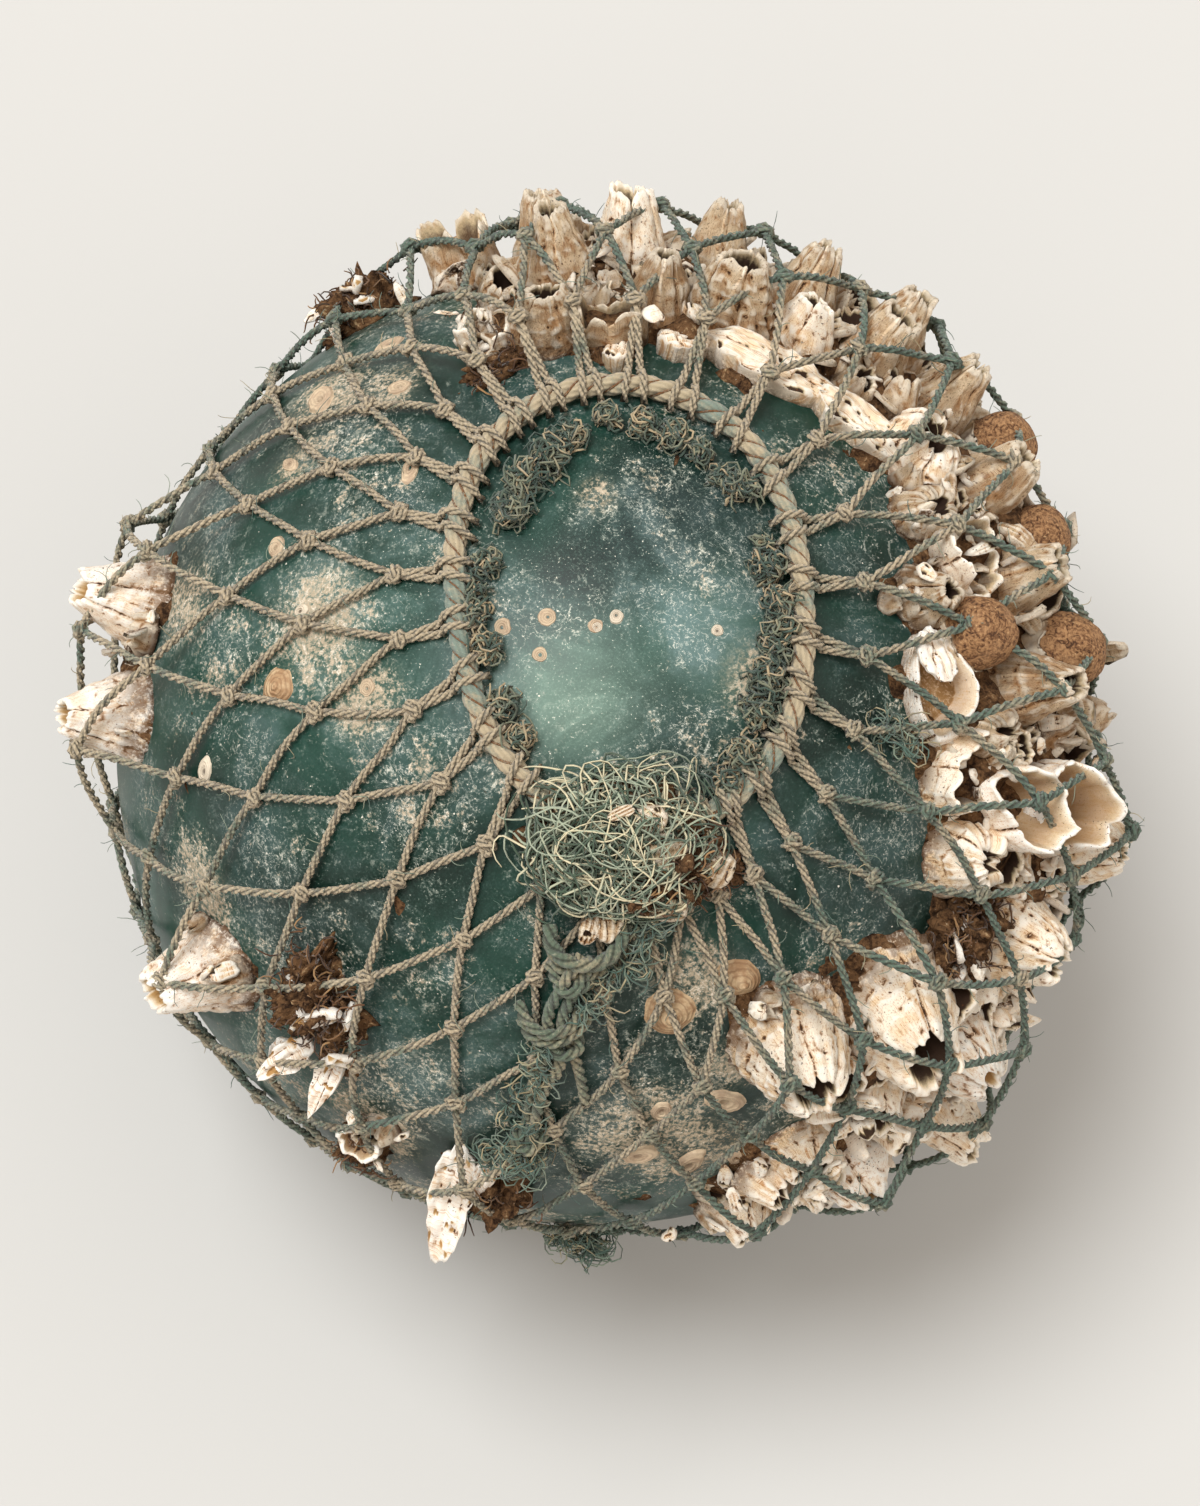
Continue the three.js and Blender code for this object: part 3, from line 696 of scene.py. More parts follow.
def shell_finish(name, body, bright, stain, crest, depth="3c281a", low="7c5b3d", relief=0.5):
    """Chalky shell: bright worn crests, gold and brown stain in the grooves deepening to near-black painted
    shade in the deepest hollows, the low colour as painted shade towards the foot, and mud within and about
    the foot.
    """
    f = Finish(name)
    groove, within, height, muddy = (f.mark(mark) for mark in ("groove", "within", "height", "muddy"))
    around, lot = f.mark("around"), f.mark("lot")
    hollow = (f.mark("hollow") - 0.5) * 2
    mottle = f.noise(9, 5, 0.6, 0.6)
    fine = f.noise(1.2, 6, 0.70, 0.4)
    streak = f.noise(0.45, 4, 0.62, 0.4, at=f.stretch(around * 0.0030, height * 0.0013, lot))
    line = f.noise(0.30, 3, 0.6, 0.6, at=f.stretch(around * 0.0007, height * 0.0130, lot))
    pins = f.noise(0.9, 2, 0.5).rise(0.66, 0.70) * mottle.rise(0.46, 0.60)
    stained = streak.rise(0.53, 0.62) * mottle.rise(0.62, 0.44) * 0.8 + line.rise(0.56, 0.63) * 0.72
    # Hollows and grooves: gold and brown stain, turning to near-black painted shade in the deepest.
    sunk = (hollow.rise(0.12, 0.75) * 0.8 + groove * 0.7).held()
    # Painted shade: the wall darkens to the low colour towards its foot, outside the mouth.
    foot_shade = ((1 - height).rise(0.36, 0.95) * (1 - within)).held()
    mud = f.colour("ecd2a4", (depth, (within * (muddy * 2.0 + 0.2) + (fine - 0.5) * 0.8).rise(0.2, 1.0)))
    colour = f.colour(body, (bright, (mottle.rise(0.40, 0.56) * 0.7 + height * 0.3).held()),
                      (stain, stained.held()),
                      (crest, (hollow.rise(-0.06, -0.45) * fine.rise(0.32, 0.50)).held() * 0.85),
                      ("b98450", (sunk.rise(0.22, 0.7) * fine.rise(0.36, 0.54)).held() * 0.8),
                      ("65401f", (sunk.rise(0.42, 0.85) * fine.rise(0.38, 0.54)).held() * 0.92),
                      ("2e1b10", (sunk.rise(0.75, 1.0) * fine.rise(0.44, 0.56)).held() * 0.85),
                      (low, (foot_shade * (mottle * 0.6 + fine * 0.4).rise(0.40, 0.55)).held() * 0.9),
                      (mud, within.rise(0.04, 0.35) * muddy),
                      ("5f3a20", pins),
                      ("5e4129", f.mark("foot") * fine.rise(0.34, 0.56)))
    bump = f.bump(streak * 0.6 + line * 0.6 + fine * 0.6 - pins * 0.9, relief, relief + 0.2)
    return f.done(f.surface(colour, (fine * 0.3 + 0.55).held(), bump, specular=0.3))


def skin_finish():
    """The dry fibrous brown skin of the domed growths, in a cream cup."""
    f = Finish("brown_skin")
    flake = f.noise(2.2, 5, 0.65, 1.6)
    lump = f.noise(7, 3)
    crumb = f.noise(0.9, 3, 0.6)
    cracks = (flake.rise(0.45, 0.36) * 0.7 + crumb.rise(0.40, 0.30) * 0.6).held()
    brown = f.colour("6d4a31", ("a87f58", (flake * 0.6 + crumb * 0.4).rise(0.42, 0.60)), ("2e1c14", cracks),
                     ("d0ab80", crumb.rise(0.64, 0.72) * 0.7), ("b58d68", lump.rise(0.5, 0.75) * 0.4))
    stained = (f.mark("groove") * 0.8 + f.mark("within") * 0.5).held()
    colour = f.colour("d9bf9b", ("efe3cf", lump.rise(0.4, 0.6)), ("8d643c", stained),
                      (brown, f.mark("skin")))
    return f.done(f.surface(colour, 0.85, f.bump(flake, 0.7, 0.9), specular=0.25))


def mat_finish():
    """Dry matted sea growth and mud between the shells."""
    f = Finish("sea_mat")
    lump = f.noise(5, 6, 0.65, 0.8)
    fine = f.noise(1.2, 4, 0.65, 0.6)
    colour = f.colour("2a1b11", ("76563a", (lump * 0.6 + fine * 0.4).rise(0.38, 0.60)),
                      ("bfa27a", (lump.rise(0.57, 0.68) * fine.rise(0.47, 0.6)).held()),
                      ("efe6d6", fine.rise(0.68, 0.74) * 0.9))
    return f.done(f.surface(colour, 0.95, f.bump(fine + lump, 0.8, 1.0), specular=0.15))


def scar_finish():
    """Tan limpet shells and worn shell scars, with rings of growth."""
    f = Finish("limpet_shell")
    rings = f.mark("height") * 30 + f.noise(3, 2) * 5
    ring = rings.math("SINE", rings)
    mottle = f.noise(4, 4, 0.6)
    colour = f.colour("a98460", ("cdb08a", mottle.rise(0.38, 0.62)), ("7d5a3c", ring.rise(0.3, 1.0) * 0.5),
                      ("e6d8c2", f.mark("pale") * 0.85), ("3a2c22", f.mark("within")))
    return f.done(f.surface(colour, 0.75, f.bump(ring * 0.5 + mottle, 0.3, 0.8)))


def floor_finish():
    """Plain pale paper."""
    f = Finish("pale_sweep")
    return f.done(f.surface(f.colour("c7c5c2", ("c3c1be", f.noise(400, 3))), 0.95, specular=0.1))


# ---- the glass ----
def make_glass():
    """The blown ball with its small flat below, and the inside of its wall."""
    for name, wall, sides, finish in (("glass_ball_outer", 0.0, 128, GLASS),
                                      ("glass_ball_inner", GLASS_WALL, 80, GLASS_WITHIN)):
        ball = new_ball(name, BALL_RADIUS - wall, sides)
        bpy.ops.object.mode_set(mode="EDIT")
        bpy.ops.mesh.select_all(action="SELECT")
        bpy.ops.mesh.bisect(plane_co=(0, 0, wall * MM), plane_no=(0, 0, 1), use_fill=True, clear_inner=True)
        if wall:
            bpy.ops.mesh.select_all(action="SELECT")
            bpy.ops.mesh.flip_normals()
        bpy.ops.object.mode_set(mode="OBJECT")
        bpy.ops.object.shade_smooth()
        finished(ball, finish, "glass", "glass_ball")


# ---- the net ----
def net_knots(row):
    """Unit directions of the knots of a row."""
    azimuth = knot_azimuth(row, np.arange(COLUMNS))
    return direction(knot_polar(row, azimuth), azimuth)


def worn_at(way):
    """How dusty and bleached cord is in the given unit directions, which is most on the crown."""
    crown = ramp(way[..., 2], 0.25, 0.85)
    far_side = ramp(way[..., 0], 0.10, 0.62) + ramp(way[..., 1], 0.40, 0.72)
    return clip01(0.52 + 0.34 * crown - 0.52 * clip01(far_side) - 0.3 * ramp(-way[..., 2], -0.3, 0.5))


def add_bars(bundle, start, end, steps, section, end_height=None):
    """Adds the twines from knot to knot, which wander a little and pass over the growths."""
    ways = between(start, end, steps)
    glass = on_ball(ways, 0)
    share = np.linspace(0, 1, steps)[None]
    here = ride_height(start)[:, None]
    there = ride_height(end)[:, None] if end_height is None else end_height
    lift = here * (1 - share) + there * share
    lift = np.maximum(lift, lift * 0.6 + ride_height(ways) * 0.4)
    spare = np.sin(share * math.pi)
    wander = noise(glass, 21, 5) * spare
    paths = on_ball(ways, TWINE_HEIGHT + lift + 0.5 * wander)
    across = unit(np.cross(ways, np.roll(ways, -1, axis=1) - ways + 1e-9))
    across[:, -1] = across[:, -2]
    paths = paths + across * (noise(glass, 26, 6) * spare * 1.3)[..., None]
    lots = np.random.default_rng(7).random(len(paths))
    tubes(bundle, paths, ways, section, TWINE_LAY, worn=worn_at(ways), lot=lots)


def add_knots(bundle, ways, steps, seed, section):
    """Adds a sheet bend at each place: a round turn over a bent loop, each a short twine."""
    draw = np.random.default_rng(seed)
    up = ways
    across = unit(np.cross([0, 0, 1.0], up))
    away = np.cross(across, up)
    skew = draw.normal(0, 0.3, len(ways))[:, None]
    flip = draw.choice([-1.0, 1.0], len(ways))[:, None]
    along = away * np.cos(skew) + across * np.sin(skew)
    aside = (across * np.cos(skew) - away * np.sin(skew)) * flip
    size = KNOT_SIZE * draw.uniform(0.9, 1.15, len(ways))[:, None, None]
    centre = on_ball(up, ride_height(up) + TWINE_HEIGHT)[:, None]
    turn = np.linspace(-0.15, 1.12, steps)[None, :, None] * TAU
    along, aside, rise = along[:, None], aside[:, None], up[:, None]
    wrap = (centre + aside * np.cos(turn) * 2.7 * size + rise * (np.sin(turn) * 2.0 + 0.5) * size
            + along * (turn / TAU - 0.5) * 2.8 * size)
    bend = np.linspace(-0.62, 0.62, steps)[None, :, None] * TAU
    loop = (centre + aside * np.sin(bend) * 2.5 * size - along * (np.cos(bend) * 2.6 + 0.8) * size
            + rise * (np.cos(bend) * 0.9 + 0.6 + 0.5 * np.sin(bend)) * size)
    lots = draw.random(len(ways))
    outward = np.broadcast_to(rise, wrap.shape)
    worn = np.broadcast_to((worn_at(ways) + 0.12)[:, None], wrap.shape[:2])
    tubes(bundle, wrap, unit(wrap - centre) * 0.5 + along, section, TWINE_LAY, worn=worn, lot=lots)
    tubes(bundle, loop, outward, section, TWINE_LAY, worn=worn, lot=lots)


def make_net():
    """The net in four bands of rows, each one piece: bars and knots above, plainer ones underneath."""
    fine = laid_section(3, TWINE / 2)
    plain = round_section(6, TWINE / 2 * 0.85)
    for name, first, last, steps, knot_steps in NET_BANDS:
        bundle = Bundle()
        section = fine if last <= FINE_ROWS else plain
        for row in range(first, last + 1):
            here = net_knots(row)
            add_knots(bundle, here, knot_steps, row, section)
            if row < ROWS:
                below = net_knots(row + 1)
                add_bars(bundle, here, below, steps, section)
                add_bars(bundle, here, np.roll(below, 1, axis=0), steps, section)
        if first == 1:
            add_collar_ties(bundle, section)
        if last == ROWS:
            add_base_ties(bundle, section)
        bundle.piece(name, TWINE_CORD, "twine", "net")


def add_collar_ties(bundle, section):
    """The twines of the first row go up over the collar rope and down inside it."""
    steps, near_rope, clear_squared, end_height = 18, 6, 28, 0.4
    for way in (-1, 1):
        start = net_knots(1)
        azimuth = knot_azimuth(1, np.arange(COLUMNS) + way * RING_TIE_SPREAD)
        end = direction(collar_polar(azimuth) - 2.1, azimuth)
        ways = between(start, end, steps)
        rope = direction(collar_polar(azimuth), azimuth)[:, None]
        apart = BALL_RADIUS * np.linalg.norm(ways - rope, axis=-1)
        over = np.sqrt(np.maximum(0, clear_squared - apart**2)) * 1.02
        share = np.linspace(0, 1, steps)[None]
        base = TWINE_HEIGHT * (1 - share) + end_height * share
        slope = base + ride_height(start)[:, None] * (1 - share) ** 1.5
        height = np.where(apart < near_rope, np.maximum(slope, COLLAR_HEIGHT + over - 1.6), slope)
        tubes(bundle, on_ball(ways, height), ways, section, TWINE_LAY, worn=worn_at(ways) + 0.1,
              lot=np.random.default_rng(3 + way).random(COLUMNS))


def add_base_ties(bundle, section):
    """The twines of the last row run on down to the base ring."""
    for way in (-1, 1):
        azimuth = knot_azimuth(ROWS, np.arange(COLUMNS) + way * RING_TIE_SPREAD)
        add_bars(bundle, net_knots(ROWS), direction(BASE_TIE_POLAR, azimuth), 6, section, 0.0)


# ---- rope rings ----
def add_laid_rope(bundle, centres, ups, rope, turns, strand_sides, worn):
    """Adds a closed three-strand rope on a ring of centres, with a thread between each two strands."""
    steps = len(centres)
    ahead = unit(np.roll(centres, -1, axis=0) - np.roll(centres, 1, axis=0))
    side = unit(np.cross(ahead, ups))
    lift = np.cross(side, ahead)
    for k in range(3):
        phase = np.arange(steps) / steps * TAU * turns + k * TAU / 3
        strand, thread = (side * np.cos(angle)[:, None] + lift * np.sin(angle)[:, None]
                          for angle in (phase, phase + TAU / 6))
        add_ring(bundle, centres + strand * rope * STRAND_REACH, strand, rope * STRAND_RADIUS, strand_sides,
                 worn, k * 0.31)
        add_ring(bundle, centres + thread * rope * THREAD_REACH, thread, THREAD_RADIUS, 4, worn, THREAD_LOT)


def add_ring(bundle, path, outward, radius, sides, worn, lot):
    """Adds one closed strand; valley is 1 on its side towards the other strands, where the cord finish paints
    shade.
    """
    steps = len(path)
    ahead = unit(np.roll(path, -1, axis=0) - np.roll(path, 1, axis=0))
    side = unit(np.cross(ahead, outward))
    lift = np.cross(side, ahead)
    around = np.arange(sides) / sides * TAU
    points = (path[:, None] + side[:, None] * (np.cos(around) * radius)[None, :, None]
              + lift[:, None] * (np.sin(around) * radius)[None, :, None])
    step, column = np.meshgrid(np.arange(steps), np.arange(sides), indexing="ij")
    after, following = (step + 1) % steps, (column + 1) % sides
    quads = np.stack([step * sides + column, after * sides + column,
                      after * sides + following, step * sides + following], -1)
    along = np.cumsum(np.linalg.norm(np.diff(path, axis=0, prepend=path[:1]), axis=-1))
    shape = (steps, sides)
    bundle.add(points, [quads], along=np.broadcast_to(along[:, None], shape),
               around=np.broadcast_to(around, shape),
               valley=np.broadcast_to(ramp(-np.sin(around), -0.35, 0.6), shape),
               worn=np.broadcast_to(worn[:, None], shape), lot=lot)


def make_collar():
    """The oval rope that the net hangs from."""
    azimuth = np.linspace(0, 360, 360, endpoint=False)
    ways = direction(collar_polar(azimuth), azimuth)
    wobble = noise(ways * BALL_RADIUS, 30, 11)
    centres = on_ball(ways, COLLAR_HEIGHT + 0.3 * wobble)
    bundle = Bundle()
    worn = 0.62 + 0.5 * noise(ways * BALL_RADIUS, 12, 12)
    add_laid_rope(bundle, centres, ways, COLLAR_ROPE, 19, 10, worn)
    bundle.piece("collar_rope", ROPE_CORD, "rope", "collar_ring")


def make_base_ring():
    """The round rope that gathers the net below."""
    turn = np.linspace(0, TAU, 160, endpoint=False)
    centres = np.stack([BASE_RING_RADIUS * np.cos(turn), BASE_RING_RADIUS * np.sin(turn),
                        np.full_like(turn, BASE_RING_HEIGHT)], -1)
    bundle = Bundle()
    ups = np.tile([0.0, 0.0, 1.0], (len(turn), 1))
    add_laid_rope(bundle, centres, ups, BASE_ROPE, 12, 8, np.full(len(turn), 0.4))
    bundle.piece("base_rope", ROPE_CORD, "rope", "base_ring")


# ---- shells and growths, turned from blank tubes ----
PLATES = 6
WALL_SHARE = 0.62  # of a cone shell's rings, which make its outer wall
CUP_SHARE = 0.36  # of a domed growth's rings, which make the cup round it
DOME_SETTLE = 0.66
OYSTER_SETTLE = 0.62
SEAT_HEIGHT = -0.4


def seat_of(x, y):
    """How far the glass has dropped away below the level of a growth's middle."""
    return -(x**2 + y**2) / (2 * BALL_RADIUS)


def cone_shell(tube, seed, width, depth, height, mouth, pit, ridge=0.07, ledge=0.045, jag=0.16, bands=4.0,
               ribs=17, wall=1.5, flare=1.0, bites=0.0, rugged=1.0, muddy=1.0):
    """An acorn shell: ribbed outer wall in growth bands, broken rim, and a hollow inside.

    Returns points about its own seat, and the marks of its finish.
    """
    ring, angle, rings = tube.ring, tube.angle, tube.rings
    wall_rings, rim_rings = round(rings * WALL_SHARE), 2
    up = clip01(ring / wall_rings)
    rim = clip01((ring - wall_rings) / rim_rings)
    down = clip01((ring - wall_rings - rim_rings) / (rings - wall_rings - rim_rings))
    middle_radius = (width + depth) / 4

    plate = (angle / TAU * PLATES + 0.35 * ripple(angle, 1.3, seed)) % 1
    seam = np.exp(-((np.minimum(plate, 1 - plate) / 0.055) ** 2))
    wave = angle * ribs / 2 + 1.6 * ripple(angle, 2.2, seed + 1) + 0.5 * ripple(angle, 3, seed + 2, up * 2.5)
    rib = np.abs(np.sin(wave))
    strong = 0.45 + 0.55 * ripple(angle, 2.6, seed + 3)
    band = up * bands + 0.55 * ripple(angle, 1.6, seed + 4) + 0.2 * ripple(angle, 6, seed + 5)
    step = band % 1
    shingle = 1 - step**1.6

    chips, nicks = (0.5 + 0.5 * ripple(angle, waves, seed + k) for waves, k in ((1.8, 6), (7, 7)))
    crest = 1 - jag * chips - jag * 0.45 * nicks
    crest = crest - 0.10 * seam - bites * ramp(ripple(angle, 1.1, seed + 8), 0.05, 0.5)
    mouth_here = mouth * (1 + 0.10 * np.cos(angle * 3 + seed) + 0.14 * ripple(angle, 1.7, seed + 9))

    outer = mouth_here + (1 - mouth_here) * (1 - up) ** flare
    relief = ridge * (rib ** 0.7 - 0.5) * strong * (1.15 - 0.6 * up)
    relief = relief + ledge * (shingle - 0.5) * (1 - 0.4 * up)
    relief = relief - 0.06 * seam * (0.4 + up)
    outer = outer * (1 + relief)
    inner = (mouth_here - wall / middle_radius) * (1 - 0.42 * down**1.3)
    radius = np.where(ring <= wall_rings, outer, outer * (1 - rim) + inner * rim)
    level = np.where(ring <= wall_rings, up * crest, crest - down * pit * (0.55 + 0.45 * down))
    level = level + 0.02 * np.sin(rim * math.pi)
    radius = np.where(tube.middle, 0, radius)
    level = np.where(ring < 0, 0, level)

    x = radius * np.cos(angle) * width / 2
    y = radius * np.sin(angle) * depth / 2
    z = level * height + seat_of(x, y) * (1 - up)
    points = np.stack([x, y, z], -1)
    away = np.array([137.0, 71.0, 29.0]) * seed
    lumps = offsets(rough, points + away, 7.0, seed, 2)
    grains = offsets(noise, points + away, 2.1, seed)
    holes = ramp(noise(points + away, 2.3, seed + 13), 0.50, 0.75) * (1 - clip01(rim + down)) * rugged
    points = points + (lumps * 0.75 + grains * 0.22) * rugged * (0.3 + 0.7 * clip01(up * 4))[:, None]
    points[:, :2] *= (1 - holes * 0.045)[:, None]
    # ledge_shadow is painted shadow under each growth ledge; groove carries it, with the rib valleys, seams
    # and holes, to the finish, which darkens them as brown stain and painted shade.
    ledge_shadow = ramp(step, 0.80, 0.99) * (up < 0.97)
    groove = clip01((1 - rib ** 0.6) * 0.8 * strong + seam * 0.7 + ledge_shadow * 0.9 + holes) * (1 - rim)
    foot = (1 - ramp(up, 0.0, 0.16)) * (ring <= wall_rings)
    marks = {"groove": groove, "within": clip01(rim * 0.12 + down * 1.1), "height": up * (1 - down),
             "around": np.abs(angle) * middle_radius, "foot": foot, "lot": (seed * 0.618) % 1, "muddy": muddy}
    return points, marks


def plate_shell(tube, seed, width, depth, height, edge=0.14, ragged=1.0, pointed=0.0, trough=0.0):
    """A broken shell plate: a ridged slab with thin chipped edges and sea-worn holes.

    A trough curls its long edges up.
    """
    ring, angle, rings = tube.ring, tube.angle, tube.rings
    share = clip01(ring / rings)
    over = ramp(share, 0.0, 0.30)
    outline = 1 + ragged * (0.13 * ripple(angle, 1.4, seed) + 0.09 * ripple(angle, 5, seed + 1))
    radius = np.where(share < 0.30, 0.90 + 0.10 * over, 1 - (share - 0.30) / 0.70) * outline
    radius = np.where(tube.middle, 0, radius)
    x, y = radius * np.cos(angle) * width / 2, radius * np.sin(angle) * depth / 2
    y = y * (1 - pointed * clip01(x / width + 0.5) ** 1.6)
    dome = edge + (1 - edge) * clip01(1 - radius**2 / 1.2) ** 0.6
    z = over * height * (dome * 0.55 + 0.28 * (1 + np.cos(angle - 0.7)) * radius * 0.6)
    z = np.where(share < 0.30, z * over, z)
    across = x if depth > width else y
    wander = 0.9 * noise(np.stack([x, y, z], -1), 9, seed + 2)
    rib = np.abs(np.sin(across / min(width, depth) * 13 + wander))
    points = np.stack([x, y, z + seat_of(x, y) * (1 - over)], -1)
    away = np.array([91.0, 33.0, 57.0]) * seed
    top = over * (share >= 0.30)
    holes = ramp(noise(points + away, 2.1, seed + 3), 0.46, 0.62) * top
    cracks = ramp(np.abs(noise(points + away, 8.0, seed + 4)), 0.08, 0.0) * top
    lumps = rough(points + away, 6.0, seed + 5)
    points[:, 2] += top * (lumps * 1.1 + rib * 0.8 - holes * 1.3 - cracks * 0.9)
    points[:, :2] *= 1 + 0.03 * lumps[:, None]
    points[:, 2] += trough * points[:, 1] ** 2
    marks = {"groove": clip01((1 - rib) * 0.35 + holes * 1.1 + cracks * 0.7), "within": holes * 0.7,
             "height": clip01(0.4 + 0.6 * top), "around": x, "foot": (1 - over), "lot": (seed * 0.37) % 1,
             "muddy": 1.0}
    return points, marks


def domed_growth(tube, seed, width, depth, height):
    """A brown skinned dome that fills a rimmed shell cup."""
    ring, angle, rings = tube.ring, tube.angle, tube.rings
    cup_rings, lip_rings = round(rings * CUP_SHARE), 3
    cup = clip01(ring / cup_rings)
    lip = clip01((ring - cup_rings) / lip_rings)
    dome = clip01((ring - cup_rings - lip_rings) / (rings - cup_rings - lip_rings))
    rib = np.abs(np.sin(angle * 9 + 1.5 * ripple(angle, 2, seed)))
    crest = 0.42 + 0.07 * ripple(angle, 2.2, seed + 1) + 0.03 * ripple(angle, 6, seed + 2)
    arc = dome * math.pi / 2
    cup_radius = 0.80 + 0.14 * cup + 0.05 * (rib - 0.5) + 0.04 * ripple(angle, 3, seed + 3, cup * 3)
    dome_radius = 0.90 * np.cos(arc) ** 0.62 * (1 + 0.06 * ripple(angle, 1.5, seed + 4))
    radius = np.where(ring <= cup_rings, cup_radius, cup_radius * (1 - lip) + dome_radius * lip)
    radius = np.where(tube.middle, 0, radius)
    bulge = crest - 0.05 * np.sin(lip * math.pi) + (1 - crest) * np.sin(arc) * lip
    level = np.where(ring <= cup_rings, cup * crest, bulge)
    level = np.where(ring < 0, 0, np.where(ring > rings, 1.0, level))
    x, y = radius * np.cos(angle) * width / 2, radius * np.sin(angle) * depth / 2
    points = np.stack([x, y, level * height + seat_of(x, y) * (1 - cup)], -1)
    away = np.array([17.0, 53.0, 29.0]) * seed
    points = points + offsets(rough, points + away, 5.5, seed, 3) * (0.55 - 0.15 * dome)[:, None]
    marks = {"groove": clip01((1 - rib) * 0.7) * (cup < 1), "within": np.sin(lip * math.pi),
             "skin": ramp(lip + dome, 0.5, 0.95), "lot": (seed * 0.37) % 1}
    return points, marks


def lump(tube, seed, width, depth, height, spiky, size):
    """A ragged lump of matted growth, with knobs of the given size."""
    share = clip01(tube.ring / tube.rings)
    arc = share * math.pi / 2
    radius = np.where(tube.middle, 0, np.cos(arc) ** 0.8)
    level = np.where(tube.ring < 0, 0, np.sin(arc))
    dome = np.stack([radius * np.cos(tube.angle), radius * np.sin(tube.angle), level], -1)
    ragged = 1 + spiky * rough(dome * (width + depth) / 4 + seed * 31.0, size, seed, 4)
    points = dome * ragged[:, None] * np.array([width / 2, depth / 2, height])
    points[:, 2] += seat_of(points[:, 0], points[:, 1]) * (1 - share)
    return points, {"lot": (seed * 0.21) % 1}


def seated(points, polar, azimuth, turn=0, lean=0, height=SEAT_HEIGHT):
    """Moves points from a growth's own seat to its place on the ball."""
    along, aside, up = local_axes(polar, azimuth, turn)
    x, y, z = points.T
    x = x + np.maximum(z, 0) * math.tan(math.radians(lean))
    foot = place(polar, azimuth, height)
    return foot + x[:, None] * along + y[:, None] * aside + z[:, None] * up


def tilted(points, pitch, roll, spin, lift):
    """Turns points about their own seat, in degrees, and lifts them."""
    turn = Matrix.Rotation(math.radians(spin), 3, "Z") @ Matrix.Rotation(math.radians(pitch), 3, "Y")
    turn = np.array(turn @ Matrix.Rotation(math.radians(roll), 3, "X"))
    return points @ turn.T + np.array([0, 0, lift])


def grow(bundle, tube, shape, tilt, *spot, **changed):
    """Adds a shape, which is its points and marks, tilted and then seated at its spot on the ball."""
    points, marks = shape
    if tilt:
        points = tilted(points, *tilt)
    bundle.add(seated(points, *spot), tube.faces, **{**marks, **changed})


SHELL_FORMS = {
    "barnacle": {"mouth": 0.44, "pit": 0.6, "jag": 0.11, "bands": 4.5, "ridge": 0.13, "ledge": 0.06},
    "broken_shell": {"mouth": 0.92, "pit": 0.85, "jag": 0.34, "bands": 3.0, "ribs": 11, "ridge": 0.05,
                     "wall": 1.1, "flare": 0.8, "bites": 0.32, "rugged": 0.55, "muddy": 0.75},
    "oyster_shell": {"mouth": 0.88, "pit": 0.72, "jag": 0.22, "bands": 6.0, "ribs": 5, "ridge": 0.02,
                     "wall": 1.0, "flare": 0.6, "rugged": 0.3, "muddy": 0.55},
    "rock_barnacle": {"mouth": 0.5, "pit": 0.35, "jag": 0.4, "bands": 2.2, "ribs": 13, "ridge": 0.12,
                      "wall": 2.4, "flare": 0.55},
}
WHITE_GROWTHS = {"broken_shell_6", "broken_shell_7", "broken_shell_8", "oyster_shell_1", "shell_plate_5",
                 "shell_plate_6", "barnacle_28", "barnacle_27", "barnacle_26", "barnacle_24", "barnacle_20"}
# Shards that stand for a plate: polar, azimuth, length, breadth, turn, pitch, lift, pointedness.
SHARDS = {
    "shell_plate_5": [(71.3, 248, 26, 11, 4, 22, 5, 0.8), (72.0, 242.4, 22, 12, -22, 30, 6, 0.8),
                      (74.5, 241.5, 15, 8, 20, 20, 3, 0.8)],
    "shell_plate_6": [(81.5, 265.8, 44, 16, 2, 30, 9, 0.45), (77, 268.6, 24, 9, -10, 14, 4, 0.8)],
}
# Barnacles with low wide walls, and barnacles with deep growth bands.
SQUAT = {"barnacle_17", "barnacle_18", "barnacle_19", "barnacle_20", "barnacle_21", "barnacle_24"}
LAYERED = {"barnacle_1", "barnacle_4", "barnacle_6"}
LAST_TAN = 32  # the first growths, which lie above and to the right, are tanner than those that follow
# Broken shells that lean their openings towards the crown: pitch, roll, spin and lift.
TURNED = {"broken_shell_6": (-24, 0, 0, 3), "broken_shell_7": (-40, 8, 0, 6),
          "broken_shell_8": (-44, -6, 0, 5), "oyster_shell_1": (-12, 0, 0, 1)}


